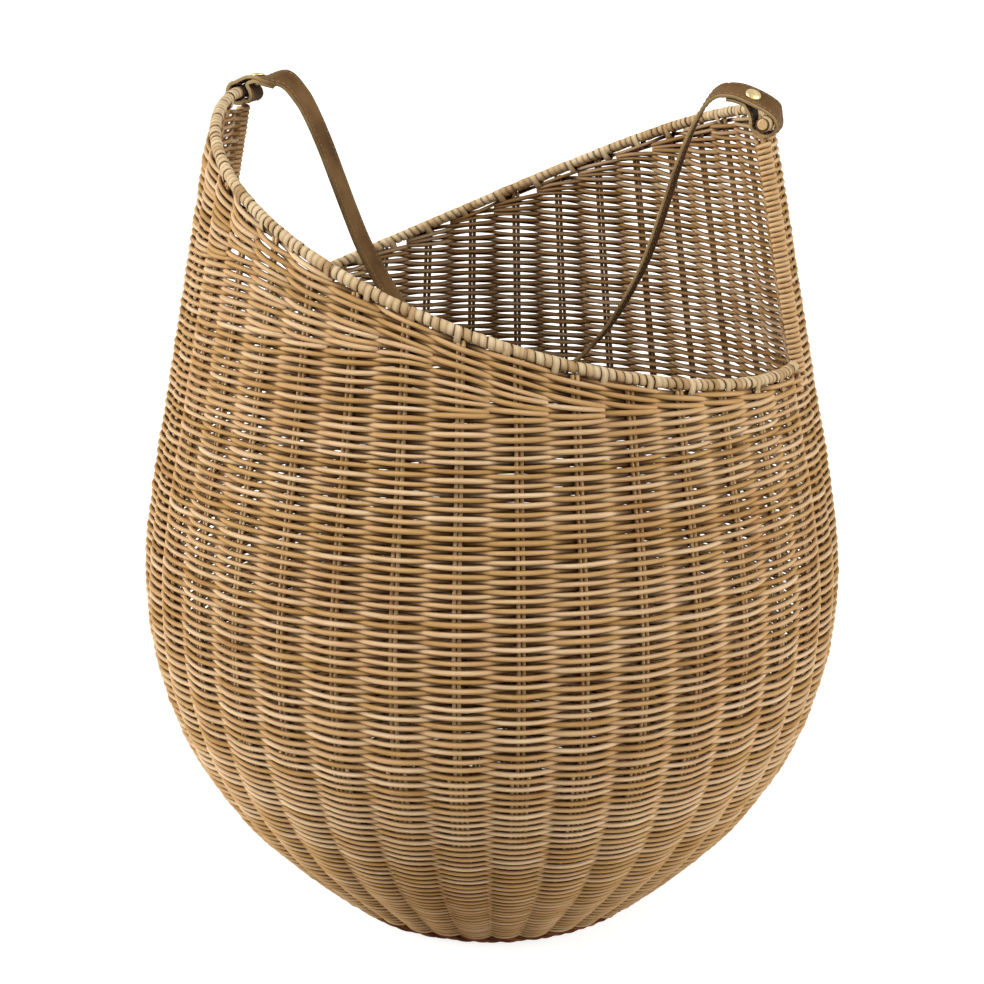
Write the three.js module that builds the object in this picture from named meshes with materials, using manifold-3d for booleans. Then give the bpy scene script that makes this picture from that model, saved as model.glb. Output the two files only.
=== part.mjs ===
// Rattan basket with a leather strap handle. Millimetres, +Z up.
// The origin is the centre of the foot, on the floor. X runs through the two strap ends, and the front is -Y.
// The wall is a fine band of weave with an open one over it. Both are held by pairs of stakes, which run
// inside the wall from the base to the rim. The rim is two rolls, each falling from a tall end to a low one.

import * as THREE from 'three';
import { mergeVertices } from 'three/addons/utils/BufferGeometryUtils.js';
import Module from 'manifold-3d';

const wasm = await Module();
wasm.setup();

// Whole basket
const bellyRadius = 198; // outside of the ribs
const rimHigh = 459; // centre of the rim roll at the two tall ends
const rimLow = 327; // centre of the rim roll at the two low ends
const clearance = 0.3; // between pieces that touch
const overrun = 5; // how far a cutting solid passes the face it cuts

// Wall
const stakeCount = 38;
const stakeWidth = 5.6; // two rods side by side
const stakeDepth = 2.8;
const weaverDepth = 2.7; // cane on each face of the stakes
const ribDrop = 2.2; // how far the weave draws in between two stakes
const fineWeaveHeight = 150; // where the fine weave and the by-stakes end
const edgeLap = 5; // cane turned round the stake of a woven edge, past its centre
const wallShares = [
  [0, 0.48], [0.065, 0.64], [0.13, 0.777], [0.218, 0.902], [0.32, 0.978], [0.43, 1],
  [0.54, 0.972], [0.66, 0.918], [0.785, 0.862], [0.9, 0.812], [1.06, 0.735],
]; // height as a share of rimHigh, outside radius as a share of bellyRadius
const fineSteps = 5;
const openSteps = 6;

// Rim rolls
const rollRadius = 4.5; // over the winding
const windingDepth = 1.1;
const windingRelief = 0.6;
const ribsPerRoll = 54;
const rollSides = 8;
const frontSweepPower = 1.5; // how the front rim falls from its tall end
const backSweepPower = 2.4;

// Foot and base
const footHeight = 7;
const footFlare = 13; // how much wider the foot is under the wall than at the floor
const footWidth = 14; // of its flat underside
const footNotch = 2.5;
const baseThickness = 7;
const baseDish = 3; // how far the middle of the base is raised
const stickCount = 8;
const stickWidth = 7;
const stickDepth = 3;
const stickInset = 12; // from the edge of the base to the end of a stick

// Strap
const strapWidth = 16;
const strapThickness = 2.2;
const foldReach = 23; // from the roll's centre to the end of the folded part
const strapDrop = 183; // from the swing axis to the lowest point
const strapTurn = 10; // degrees, how far the slack part's faces turn to the front
const strapLean = 8; // degrees, how far the slack part hangs to the back, as bent leather does
const strapSteps = 15; // in each half of the slack part
const plySteps = 6; // in each ply of a folded end
const roundSteps = 12; // round the roll
// Places from the roll's centre, in foldReach: the upper ply, then the inner leg
const foldShares = [[-0.3, 0.46], [-0.66, 0.61], [-0.85, 0.65], [-0.94, 0.66], [-1, 0.66]];
const foldMeetShare = 0.44; // of the upper ply, where the lower one comes to lie on it
const foldTipShare = 0.97; // of the upper ply, where the lower one ends
const plyStartShare = 0.31; // of a half turn up from the outside, where the upper ply leaves the roll
const legStartShare = -0.6; // of a half turn, where the inner leg leaves it
const leastMitreShare = 0.7; // at a sharp bend the strap thickens no more than this
const legShares = [[-0.35, 0.03], [-0.31, -0.18]];
const hangShares = [
  [1, 0], [0.985, 0], [0.95, 0.013], [0.905, 0.055], [0.865, 0.11], [0.81, 0.21], [0.76, 0.32],
  [0.71, 0.43], [0.655, 0.54], [0.58, 0.65], [0.485, 0.765], [0.37, 0.863], [0.24, 0.94], [0.11, 0.985],
  [0, 1],
]; // half of the slack part: distance from the middle and drop, as shares of their largest

// Rivets
const capRadius = 4.3;
const capHeight = 1.8;
const domeShares = [[1, 0], [0.8, 0.7], [0.45, 0.95], [0, 1]]; // radius and height, of capRadius and capHeight
const postRadius = 1.5;
const washerRadius = 3.2;
const washerThickness = 0.9;
const washerHole = 1.8;
const rivetSides = 12;
const rivetShare = 0.6; // along the upper ply, from the roll

const fullTurn = Math.PI * 2;
const halfTurn = Math.PI;
const stakePitch = fullTurn / stakeCount;
const halfWeave = stakeDepth / 2 + weaverDepth;
const up = new THREE.Vector3(0, 0, 1);

// Materials

const finish = (color, roughness, metalness = 0) => (
  new THREE.MeshStandardMaterial({ color, roughness, metalness }));
const caneTan = finish('#b8905f', 0.75);
const canePale = finish('#d8bd8c', 0.7);
const caneRed = finish('#6d4630', 0.8);
const rodTan = finish('#a8814f', 0.75);
const leather = finish('#75603f', 0.55);
const brass = finish('#c9b078', 0.35, 1);

// Closed solids from rows of sections

const flipped = ([a, b, c]) => [a, c, b];

/** The side faces between rings of points that run counter-clockwise as seen from the last ring. */
function sideFaces(ringStarts, count) {
  const faces = [];
  for (let ring = 0; ring + 1 < ringStarts.length; ring += 1) {
    for (let i = 0; i < count; i += 1) {
      const next = (i + 1) % count;
      const [low, high] = [ringStarts[ring], ringStarts[ring + 1]];
      faces.push([low + i, low + next, high + next], [low + i, high + next, high + i]);
    }
  }
  return faces;
}

/** Triangles of a flat face with holes, counter-clockwise, as indices into its loops one after another. */
function faceTriangles([outline, ...holes]) {
  const points = [outline, ...holes].flat();
  const area = ([a, b, c]) => points[b].clone().sub(points[a]).cross(points[c].clone().sub(points[a]));
  return THREE.ShapeUtils.triangulateShape(outline, holes)
    .map((face) => (area(face) < 0 ? flipped(face) : face));
}

/** Geometry of points and triangles. */
function solid(points, faces) {
  const geometry = new THREE.BufferGeometry().setFromPoints(points);
  geometry.setIndex(faces.flat());
  geometry.computeVertexNormals();
  return geometry;
}

/**
 * A solid skinned over tubes, the first one outside and the rest bored through it.
 * A tube is a list of rings of points, and ends holds the outlines of its two end faces in their own planes.
 */
function skin(tubes, ends) {
  const points = [];
  const faces = [];
  const first = [];
  const last = [];
  tubes.forEach((rings, tubeNumber) => {
    const starts = rings.map((ring) => points.push(...ring) - ring.length);
    const sides = sideFaces(starts, rings[0].length);
    faces.push(...(tubeNumber === 0 ? sides : sides.map(flipped)));
    rings[0].forEach((point, i) => first.push(starts[0] + i));
    rings[0].forEach((point, i) => last.push(starts.at(-1) + i));
  });
  faces.push(...faceTriangles(ends[0]).map((face) => flipped(face.map((i) => first[i]))));
  faces.push(...faceTriangles(ends[1]).map((face) => face.map((i) => last[i])));
  return solid(points, faces);
}

/** A geometry as a manifold solid. */
function toManifold(geometry) {
  const bare = new THREE.BufferGeometry();
  bare.setAttribute('position', geometry.getAttribute('position'));
  bare.setIndex(geometry.getIndex());
  const merged = mergeVertices(bare);
  return new wasm.Manifold(new wasm.Mesh({
    numProp: 3,
    vertProperties: merged.getAttribute('position').array,
    triVerts: Uint32Array.from(merged.getIndex().array),
  }));
}

/** A manifold solid as a geometry. */
function fromManifold(manifold) {
  const { vertProperties, triVerts } = manifold.getMesh();
  const geometry = new THREE.BufferGeometry();
  geometry.setAttribute('position', new THREE.BufferAttribute(Float32Array.from(vertProperties), 3));
  geometry.setIndex(Array.from(triVerts));
  geometry.computeVertexNormals();
  return geometry;
}

/** A geometry less others. */
function cut(geometry, cutters) {
  const blank = toManifold(geometry);
  return fromManifold(cutters.map(toManifold).reduce((rest, cutter) => rest.subtract(cutter), blank));
}

/** A round solid about +Z through pairs of radius and height. */
function turned(profile, sides) {
  const points = profile.map(([radius, height]) => new THREE.Vector2(radius, height));
  return new THREE.LatheGeometry(points, sides).rotateX(halfTurn / 2);
}

/** A named piece at a place, turned about +Z. */
function piece(name, geometry, material, place = [0, 0, 0], turn = 0) {
  const mesh = new THREE.Mesh(geometry, material);
  mesh.name = name;
  mesh.position.set(...place);
  mesh.rotation.z = turn;
  return mesh;
}

/** Shares from one to another, in equal steps. */
const sharesBetween = (from, to, steps) => (
  Array.from({ length: steps + 1 }, (_, i) => THREE.MathUtils.lerp(from, to, i / steps)));

// Shape of the wall and the rim

const outerProfile = new THREE.SplineCurve(
  wallShares.map(([height, radius]) => new THREE.Vector2(radius * bellyRadius, height * rimHigh)),
);

/** The middle of the wall at a share of its length: radius, height and the outward direction of its face. */
function wallAt(share) {
  const outside = outerProfile.getPointAt(share);
  const along = outerProfile.getTangentAt(share);
  const out = new THREE.Vector2(along.y, -along.x);
  return { middle: outside.addScaledVector(out, -halfWeave), out };
}

/** The share of the wall's length at which its middle reaches a height. */
function shareAtHeight(height) {
  let [low, high] = [0, 1];
  while (high - low > Number.EPSILON * rimHigh) {
    const share = (low + high) / 2;
    [low, high] = wallAt(share).middle.y < height ? [share, high] : [low, share];
  }
  return low;
}

const wallFootShare = shareAtHeight(footHeight + clearance + halfWeave);
const fineTopShare = shareAtHeight(fineWeaveHeight);
const wallTopShare = shareAtHeight(rimHigh + rollRadius);
const rollRadiusAt = (height) => wallAt(shareAtHeight(height)).middle.x;

// The roll runs level where the strap goes round it, then sweeps down to the other tall end.
const levelTurn = (strapWidth + edgeLap) / rollRadiusAt(rimHigh);
const edgeTurn = -(strapWidth / 2 + 2 * clearance + weaverDepth / 2) / rollRadiusAt(rimHigh);
const stakeTurns = Array.from({ length: stakeCount }, (_, i) => (
  edgeTurn + edgeLap / rollRadiusAt(rimHigh) + i * stakePitch));
const halves = [
  { name: 'back', start: edgeTurn, power: backSweepPower },
  { name: 'front', start: edgeTurn + halfTurn, power: frontSweepPower },
];

/** Height of the roll's centre, a turn past the tall end of its half. */
function rimHeight({ power }, turn) {
  const share = Math.max(0, turn - levelTurn) / (halfTurn - levelTurn);
  return rimLow + (rimHigh - rimLow) * (1 - Math.sin(share * halfTurn / 2) ** power);
}

/** Height of the wall's top under the roll. It drops further where the roll slopes. */
function wallTop(half, turn) {
  const step = stakePitch / 4;
  const rise = rimHeight(half, Math.min(turn + step, halfTurn)) - rimHeight(half, Math.max(turn - step, 0));
  const run = 2 * step * rollRadiusAt(rimHeight(half, turn));
  return rimHeight(half, turn) - (rollRadius + clearance) * Math.hypot(1, rise / run);
}

/** A point at a radius, turn and height. */
const polar = (radius, turn, height) => new THREE.Vector3(
  radius * Math.cos(turn), radius * Math.sin(turn), height,
);

// Weave, bored for the stakes

/** One level of the weave: its rippled outside, its inside and the slot of each stake. */
function weaveLevel(share) {
  const { middle, out } = wallAt(share);
  const at = (depth, turn, aside = 0) => polar(middle.x + depth * out.x, turn, middle.y + depth * out.y)
    .add(new THREE.Vector3(-Math.sin(turn), Math.cos(turn), 0).multiplyScalar(aside));
  const ridgeAndDip = (turn) => [at(halfWeave, turn), at(halfWeave - ribDrop, turn + stakePitch / 2)];
  const slot = (turn) => stakeOutline(clearance).map(([aside, depth]) => at(depth, turn, -aside));
  const inside = stakeTurns.map((turn) => at(-halfWeave, turn + stakePitch / 2));
  return [stakeTurns.flatMap(ridgeAndDip), inside, ...stakeTurns.map(slot)];
}

/** Corners of a pair of rods side by side, or of the slot that they pass through. */
function stakeOutline(room = 0) {
  const [across, deep] = [stakeWidth / 2 + room, stakeDepth / 2 + room];
  return [[-across, deep], [-across, -deep], [across, -deep], [across, deep]];
}

/** A band of weave between two shares of the wall's length. */
function weaveBand(from, to, steps) {
  const levels = sharesBetween(from, to, steps).map(weaveLevel);
  const tubes = levels[0].map((_, tube) => levels.map((level) => level[tube]));
  const seenFromAbove = (level) => level.map((loop) => loop.map(({ x, y }) => new THREE.Vector2(x, y)));
  return skin(tubes, [seenFromAbove(levels[0]), seenFromAbove(levels.at(-1))]);
}

/** The space over one half of the rim, which is cut from the weave. */
function spaceOverRim(half) {
  const inner = rollRadiusAt(rimHigh) - halfWeave - overrun;
  const outer = bellyRadius + overrun;
  const top = rimHigh + rollRadius + halfWeave + overrun;
  const lead = overrun / bellyRadius;
  const turns = [-lead, ...Array.from({ length: stakeCount + 1 }, (_, i) => halfTurn * i / stakeCount)];
  const outline = (turn) => {
    const low = wallTop(half, Math.max(turn, 0));
    return [[low, inner], [top, inner], [top, outer], [low, outer]];
  };
  const rings = turns.map((turn) => outline(turn)
    .map(([height, radius]) => polar(radius, half.start + turn, height)));
  const face = (turn) => [outline(turn).map(([height, radius]) => new THREE.Vector2(height, radius))];
  return skin([rings], [face(turns[0]), face(turns.at(-1))]);
}

// Where the strap's folded ends go under the roll, the weave is parted.
const foldRadius = rollRadius + clearance + strapThickness / 2;
const partingDepth = foldRadius + strapThickness / 2 + clearance;
const partingBottom = rimHigh - partingDepth;

/** The parting in the weave under one fold. It is open to the woven edge. */
function parting(turn) {
  const geometry = new THREE.BoxGeometry(2 * (halfWeave + overrun), strapWidth + overrun, partingDepth);
  geometry.translate(rollRadiusAt(rimHigh), 2 * clearance - overrun / 2, partingBottom + partingDepth / 2);
  geometry.rotateZ(turn);
  return geometry;
}

const splitShare = clearance / 2 / outerProfile.getLength();
const fineWeave = weaveBand(wallFootShare, fineTopShare - splitShare, fineSteps);
const openWeave = cut(
  weaveBand(fineTopShare + splitShare, wallTopShare, openSteps),
  [...halves.map(spaceOverRim), parting(0), parting(halfTurn)],
);

// Stakes, in the plane of +X and +Z, then turned to their places

/** Shares of the wall's length where its facets meet, below a height. */
const stationsBelow = (height) => [
  ...sharesBetween(wallFootShare, fineTopShare - splitShare, fineSteps),
  ...sharesBetween(fineTopShare + splitShare, wallTopShare, openSteps),
].filter((share) => wallAt(share).middle.y < height);

/** The last level of a stake: on the straight line between two facet levels, at a height. */
function stakeEnd(height) {
  const below = stationsBelow(height);
  const every = stationsBelow(Infinity);
  const [from, to] = [wallAt(below.at(-1)), wallAt(every[Math.min(below.length, every.length - 1)])];
  const share = (height - from.middle.y) / (to.middle.y - from.middle.y);
  return {
    middle: from.middle.clone().lerp(to.middle, share),
    out: from.out.clone().lerp(to.out, share),
  };
}

/** A pair of rods from the foot of the wall to a height. */
function stake(height) {
  const levels = [...stationsBelow(height - stakeDepth).map(wallAt), stakeEnd(height)];
  const ring = ({ middle, out }) => stakeOutline()
    .map(([aside, depth]) => new THREE.Vector3(middle.x + depth * out.x, -aside, middle.y + depth * out.y));
  const face = [stakeOutline().map(([aside, depth]) => new THREE.Vector2(depth, -aside))];
  return skin([levels.map(ring)], [face, face]);
}

/** Height of a stake's top, just under the top of the weave. */
function stakeTop(stakeTurn) {
  const half = halves.findLast(({ start }) => stakeTurn > start);
  const turn = stakeTurn - half.start;
  const underFold = turn < levelTurn ? partingBottom : Infinity;
  return Math.min(wallTop(half, turn), underFold) - stakeDepth;
}

const stakes = stakeTurns.map((turn, i) => (
  piece(`stake_${String(i + 1).padStart(2, '0')}`, stake(stakeTop(turn)), rodTan, [0, 0, 0], turn)));

// Rim rolls

/** The outline of a roll's end. */
const rollFace = (radius) => Array.from({ length: rollSides }, (_, i) => {
  const angle = fullTurn * (i + 1 / 2) / rollSides;
  return new THREE.Vector2(radius * Math.cos(angle), radius * Math.sin(angle));
});

/** A ring of points round a roll's centre line, square to it. */
function rollRing(half, share, radius) {
  const turnAt = (part) => halfTurn * part - clearance * part / rollRadiusAt(rimLow);
  const centre = (part) => {
    const height = rimHeight(half, turnAt(part));
    return polar(rollRadiusAt(height), half.start + turnAt(part), height);
  };
  const step = 1 / ribsPerRoll / 2;
  const along = centre(Math.min(share + step, 1)).sub(centre(Math.max(share - step, 0))).normalize();
  if (share === 0 || share === 1) {
    along.setZ(0).normalize();
  }
  const outward = new THREE.Vector3().crossVectors(along, up).normalize();
  const upward = new THREE.Vector3().crossVectors(outward, along);
  return rollFace(radius)
    .map(({ x, y }) => centre(share).addScaledVector(upward, x).addScaledVector(outward, y));
}

const boreRadius = rollRadius - windingDepth;
const coreRadius = boreRadius - clearance;

/** Rings of one radius round a roll, for its core and for the bore that the core fills. */
const plainRings = (half, radius) => (
  sharesBetween(0, 1, ribsPerRoll / 2).map((share) => rollRing(half, share, radius)));

/** The cane core of a rim roll. */
function rimCore(half) {
  const face = [rollFace(coreRadius)];
  return skin([plainRings(half, coreRadius)], [face, face]);
}

/** The flat cane wound round the core, one rib for each few turns. */
function rimWinding(half) {
  const grooveRadius = rollRadius - windingRelief;
  const ribs = sharesBetween(0, 1, 2 * ribsPerRoll)
    .map((share, i) => rollRing(half, share, i % 2 === 0 ? grooveRadius : rollRadius));
  const face = [rollFace(grooveRadius), rollFace(boreRadius)];
  return skin([ribs, plainRings(half, boreRadius)], [face, face]);
}

const rimPieces = halves.flatMap((half) => [
  piece(`rim_core_${half.name}`, rimCore(half), rodTan),
  piece(`rim_winding_${half.name}`, rimWinding(half), canePale),
]);

// Foot and base

const footTopRadius = wallAt(wallFootShare).middle.x;
const footRadius = footTopRadius - footFlare;
const footInnerRadius = footRadius - footWidth;

/** The plaited foot: it flares up to the weave and has a notch between every two stakes. */
function footBorder() {
  const section = [[0, footRadius], [footHeight, footTopRadius]];
  const outside = section.map(([height, radius]) => stakeTurns.flatMap((turn) => [
    polar(radius, turn, height), polar(radius - footNotch, turn + stakePitch / 2, height),
  ]));
  const inside = section.map(([height]) => stakeTurns.map((turn) => polar(footInnerRadius, turn, height)));
  const flat = (ring) => ring.map(({ x, y }) => new THREE.Vector2(x, y));
  return skin([outside, inside], [[flat(outside[0]), flat(inside[0])], [flat(outside[1]), flat(inside[1])]]);
}

const baseBottom = footHeight + clearance;
const baseRadius = footTopRadius - halfWeave * wallAt(wallFootShare).out.x - 2 * clearance;

/** The woven base: a disc whose middle is raised, closed against the inside of the wall. */
function wovenBase() {
  return turned([
    [0, baseDish],
    [footInnerRadius, 0],
    [baseRadius, 0],
    [baseRadius, baseThickness],
    [footInnerRadius, baseThickness],
    [0, baseThickness + baseDish],
  ], stakeCount);
}

/** The crossed sticks on which the base is woven, lying on its inner face. */
function baseSticks() {
  const arms = stickCount * 2;
  const armAngle = fullTurn / arms;
  const rootRadius = stickWidth / 2 / Math.sin(armAngle / 2);
  const outline = Array.from({ length: arms }, (_, i) => {
    const along = new THREE.Vector2(Math.cos(i * armAngle), Math.sin(i * armAngle));
    const across = new THREE.Vector2(-along.y, along.x);
    const tip = along.clone().multiplyScalar(baseRadius - stickInset);
    const root = along.clone().multiplyScalar(rootRadius * Math.cos(armAngle / 2));
    return [
      tip.clone().addScaledVector(across, -stickWidth / 2),
      tip.clone().addScaledVector(across, stickWidth / 2),
      root.clone().addScaledVector(across, stickWidth / 2),
    ];
  }).flat();
  return new THREE.ExtrudeGeometry(new THREE.Shape(outline), { depth: stickDepth, bevelEnabled: false });
}

// Strap

const hangReach = rollRadiusAt(rimHigh) - foldReach;
const swingHeight = rimHigh + foldShares.at(-1)[1] * foldReach;

/** The strap along points in the plane of X and Z. Its section is mitred where it bends. */
function ribbon(points, widthDirection = () => new THREE.Vector3(0, 1, 0)) {
  const corners = [[1, 1], [-1, 1], [-1, -1], [1, -1]]
    .map(([side, face]) => new THREE.Vector2(side * strapWidth / 2, face * strapThickness / 2));
  const rings = points.map((point, i) => {
    const from = points[Math.max(i - 1, 0)];
    const to = points[Math.min(i + 1, points.length - 1)];
    const along = to.clone().sub(from).normalize();
    const across = widthDirection(i);
    across.addScaledVector(along, -across.dot(along)).normalize();
    const through = new THREE.Vector3().crossVectors(along, across);
    const mitre = i === 0 ? 1 : Math.max(point.clone().sub(from).normalize().dot(along), leastMitreShare);
    return corners.map(({ x, y }) => (
      point.clone().addScaledVector(across, x).addScaledVector(through, y / mitre)));
  });
  return skin([rings], [[corners], [corners]]);
}

const foldPoint = (x, z) => new THREE.Vector3(x, 0, z);
const roundRoll = (share) => (
  foldPoint(foldRadius * Math.cos(halfTurn * share), foldRadius * Math.sin(halfTurn * share)));
const upperPly = new THREE.CatmullRomCurve3([
  roundRoll(plyStartShare), ...foldShares.map(([x, z]) => foldPoint(x * foldReach, z * foldReach)),
], false, 'centripetal');

/** A point of the lower ply, under a share of the upper one. */
function lowerPly(share) {
  const along = upperPly.getTangentAt(share);
  const down = new THREE.Vector3(along.z, 0, -along.x);
  down.multiplyScalar(down.z > 0 ? -1 : 1);
  return upperPly.getPointAt(share).addScaledVector(down, strapThickness + clearance);
}

/** One end of the strap, round a roll whose centre is the origin, before it is punched for its rivet. */
function foldedEnd() {
  const leg = new THREE.CatmullRomCurve3([
    roundRoll(legStartShare),
    ...legShares.toReversed().map(([x, z]) => foldPoint(x * foldReach, z * foldReach)),
    lowerPly(foldMeetShare),
  ], false, 'centripetal');
  return ribbon([
    upperPly.getPointAt(1),
    ...sharesBetween(foldTipShare, 0, plySteps).map((share) => upperPly.getPointAt(share)),
    ...sharesBetween(plyStartShare, legStartShare, roundSteps).slice(1, -1).map(roundRoll),
    ...sharesBetween(0, 1, plySteps).map((share) => leg.getPointAt(share)),
    ...sharesBetween(foldMeetShare, foldTipShare, plySteps).slice(1).map(lowerPly),
  ]);
}

const rivetPoint = upperPly.getPointAt(rivetShare);
const rivetAlong = upperPly.getTangentAt(rivetShare);
const rivetLean = Math.atan2(rivetAlong.z, -rivetAlong.x); // of the upper ply, rising inwards
const gripDepth = 2 * strapThickness + clearance;

/** Puts a geometry made about +Z, from the leather's top face, at the rivet of the right fold. */
function atRivet(geometry) {
  geometry.translate(0, 0, strapThickness / 2);
  geometry.rotateY(rivetLean);
  geometry.translate(rivetPoint.x, 0, rivetPoint.z);
  return geometry;
}

const washerTop = -gripDepth - clearance;
const washerBottom = washerTop - washerThickness;

/** The domed cap and its post. */
const rivetCap = atRivet(turned([
  [0, washerBottom],
  [postRadius, washerBottom],
  [postRadius, clearance],
  ...domeShares.map(([radius, height]) => [capRadius * radius, clearance + capHeight * height]),
], rivetSides));

/** The washer that the post passes, under the lower ply. */
const rivetWasher = atRivet(turned([
  [washerHole, washerBottom],
  [washerRadius, washerBottom],
  [washerRadius, washerTop],
  [washerHole, washerTop],
  [washerHole, washerBottom],
], rivetSides));

const punch = atRivet(turned([
  [0, washerBottom - overrun],
  [washerHole, washerBottom - overrun],
  [washerHole, overrun],
  [0, overrun],
], rivetSides));
const strapEnd = cut(foldedEnd(), [punch]);

const folds = [{ side: 'right', turn: 0 }, { side: 'left', turn: halfTurn }].flatMap(({ side, turn }) => {
  const place = [rollRadiusAt(rimHigh) * Math.cos(turn), 0, rimHigh];
  return [
    piece(`strap_end_${side}`, strapEnd, leather, place, turn),
    piece(`rivet_cap_${side}`, rivetCap, brass, place, turn),
    piece(`rivet_washer_${side}`, rivetWasher, brass, place, turn),
  ];
});

/** The slack part of the strap, from fold to fold. It leans about the swing axis, whose middle is the origin. */
function slackStrap() {
  const reach = hangReach - clearance;
  const half = hangShares.map(([x, drop]) => new THREE.Vector3(x * reach, 0, -drop * strapDrop));
  const mirrored = half.slice(0, -1).reverse().map(({ x, z }) => new THREE.Vector3(-x, 0, z));
  const curve = new THREE.CatmullRomCurve3([...half, ...mirrored], false, 'centripetal');
  const steps = strapSteps * 2;
  const points = Array.from({ length: steps + 1 }, (_, i) => curve.getPoint(i / steps));
  const turn = (i) => THREE.MathUtils.degToRad(strapTurn) * Math.sin(halfTurn * i / steps);
  const strap = ribbon(points, (i) => new THREE.Vector3(Math.sin(turn(i)), Math.cos(turn(i)), 0));
  return strap.rotateX(THREE.MathUtils.degToRad(strapLean));
}

// The basket

const basket = new THREE.Group();
basket.add(
  piece('foot_border', footBorder(), caneRed),
  piece('base_weave', wovenBase(), caneTan, [0, 0, baseBottom]),
  piece('base_sticks', baseSticks(), rodTan, [0, 0, baseBottom + baseThickness + baseDish + clearance]),
  piece('fine_weave', fineWeave, caneTan),
  piece('open_weave', openWeave, caneTan),
  ...stakes,
  ...rimPieces,
  ...folds,
  piece('hanging_strap', slackStrap(), leather, [0, 0, swingHeight]),
);

export default basket;
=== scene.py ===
"""Rattan basket with a leather strap handle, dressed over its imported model."""

import logging
import math
from dataclasses import dataclass, field
from enum import Enum
from typing import Dict, List, Optional, Sequence, Tuple, Union

import bpy
import numpy as np
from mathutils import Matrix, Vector


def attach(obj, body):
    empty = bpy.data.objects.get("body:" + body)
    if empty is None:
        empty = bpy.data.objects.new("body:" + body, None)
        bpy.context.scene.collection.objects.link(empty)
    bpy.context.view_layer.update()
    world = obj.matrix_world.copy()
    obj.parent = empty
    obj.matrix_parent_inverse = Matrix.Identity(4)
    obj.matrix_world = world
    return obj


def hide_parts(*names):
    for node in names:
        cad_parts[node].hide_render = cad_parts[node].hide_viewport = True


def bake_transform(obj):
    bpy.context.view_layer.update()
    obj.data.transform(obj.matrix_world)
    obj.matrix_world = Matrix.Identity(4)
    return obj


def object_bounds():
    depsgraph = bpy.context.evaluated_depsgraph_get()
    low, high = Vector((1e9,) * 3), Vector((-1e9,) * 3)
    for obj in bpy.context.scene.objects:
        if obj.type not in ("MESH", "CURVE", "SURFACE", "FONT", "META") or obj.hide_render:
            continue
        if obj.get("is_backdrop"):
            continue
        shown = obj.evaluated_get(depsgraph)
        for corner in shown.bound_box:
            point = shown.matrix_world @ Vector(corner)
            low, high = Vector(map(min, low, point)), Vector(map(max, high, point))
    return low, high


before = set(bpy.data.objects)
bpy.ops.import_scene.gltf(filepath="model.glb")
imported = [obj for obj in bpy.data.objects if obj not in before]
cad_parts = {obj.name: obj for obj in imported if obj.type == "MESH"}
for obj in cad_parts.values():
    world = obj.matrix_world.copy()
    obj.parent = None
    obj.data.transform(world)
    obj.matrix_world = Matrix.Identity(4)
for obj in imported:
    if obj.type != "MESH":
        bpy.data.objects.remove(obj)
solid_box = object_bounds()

log = logging.getLogger("basket")

MM = 0.001
BASKET = "basket"
HALF_TURN = math.pi
FULL_TURN = 2 * math.pi
UP = np.array([0.0, 0.0, 1.0])
Curve = Tuple[Tuple[float, float], ...]


# Curves that the pieces follow


def catmull_rom(points: Sequence[Sequence[float]], steps: int, power: float = 0.5) -> np.ndarray:
    """Points on a smooth curve through given ones.

    Args:
        points: The points to pass, at least two.
        steps: Steps between each two of them.
        power: 0 spaces the knots evenly, 0.5 by the root of their distance.

    Returns:
        The curve's points, one row each.
    """
    given = np.array(points, float)
    padded = np.vstack([2 * given[0] - given[1], given, 2 * given[-1] - given[-2]])
    out = []
    for a, b, c, d in zip(padded, padded[1:], padded[2:], padded[3:]):
        knots = [0.0]
        for p, q in ((a, b), (b, c), (c, d)):
            knots.append(knots[-1] + max(float(np.linalg.norm(q - p)), 1e-9) ** power)
        t0, t1, t2, t3 = knots
        for t in np.linspace(t1, t2, steps, endpoint=False):
            ab = (t1 - t) / (t1 - t0) * a + (t - t0) / (t1 - t0) * b
            bc = (t2 - t) / (t2 - t1) * b + (t - t1) / (t2 - t1) * c
            cd = (t3 - t) / (t3 - t2) * c + (t - t2) / (t3 - t2) * d
            abc = (t2 - t) / (t2 - t0) * ab + (t - t0) / (t2 - t0) * bc
            bcd = (t3 - t) / (t3 - t1) * bc + (t - t1) / (t3 - t1) * cd
            out.append((t2 - t) / (t2 - t1) * abc + (t - t1) / (t2 - t1) * bcd)
    out.append(given[-1])
    return np.array(out)


def even_noise(places: np.ndarray, seed: int, span: float) -> np.ndarray:
    """Smooth random values from -1 to 1 at places along a line.

    Args:
        places: Where the values are wanted.
        seed: Which noise it is.
        span: Distance over which it changes.

    Returns:
        One value for each place.
    """
    rng = np.random.default_rng(seed)
    low = math.floor(places.min() / span) - 1
    high = math.ceil(places.max() / span) + 2
    knots = rng.uniform(-1, 1, high - low + 1)
    share = places / span - low
    index = np.floor(share).astype(int)
    part = share - index
    part = part * part * (3 - 2 * part)
    return knots[index] * (1 - part) + knots[index + 1] * part


def unit_rows(rows: np.ndarray) -> np.ndarray:
    """The rows, each with length 1."""
    return rows / np.linalg.norm(rows, axis=1)[:, None]


def lengths_along(points: np.ndarray) -> np.ndarray:
    """Length along a line of points up to each of them."""
    return np.concatenate([[0.0], np.cumsum(np.linalg.norm(np.diff(points, axis=0), axis=1))])


def rows_at(places: np.ndarray, lengths: np.ndarray, rows: np.ndarray) -> np.ndarray:
    """Values of three columns between the rows of a line.

    Args:
        places: Lengths along the line where the values are wanted.
        lengths: Lengths along the line of the rows.
        rows: Points or directions, one row each.

    Returns:
        One row for each place.
    """
    return np.stack([np.interp(places, lengths, rows[:, axis]) for axis in range(3)], -1)


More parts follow.
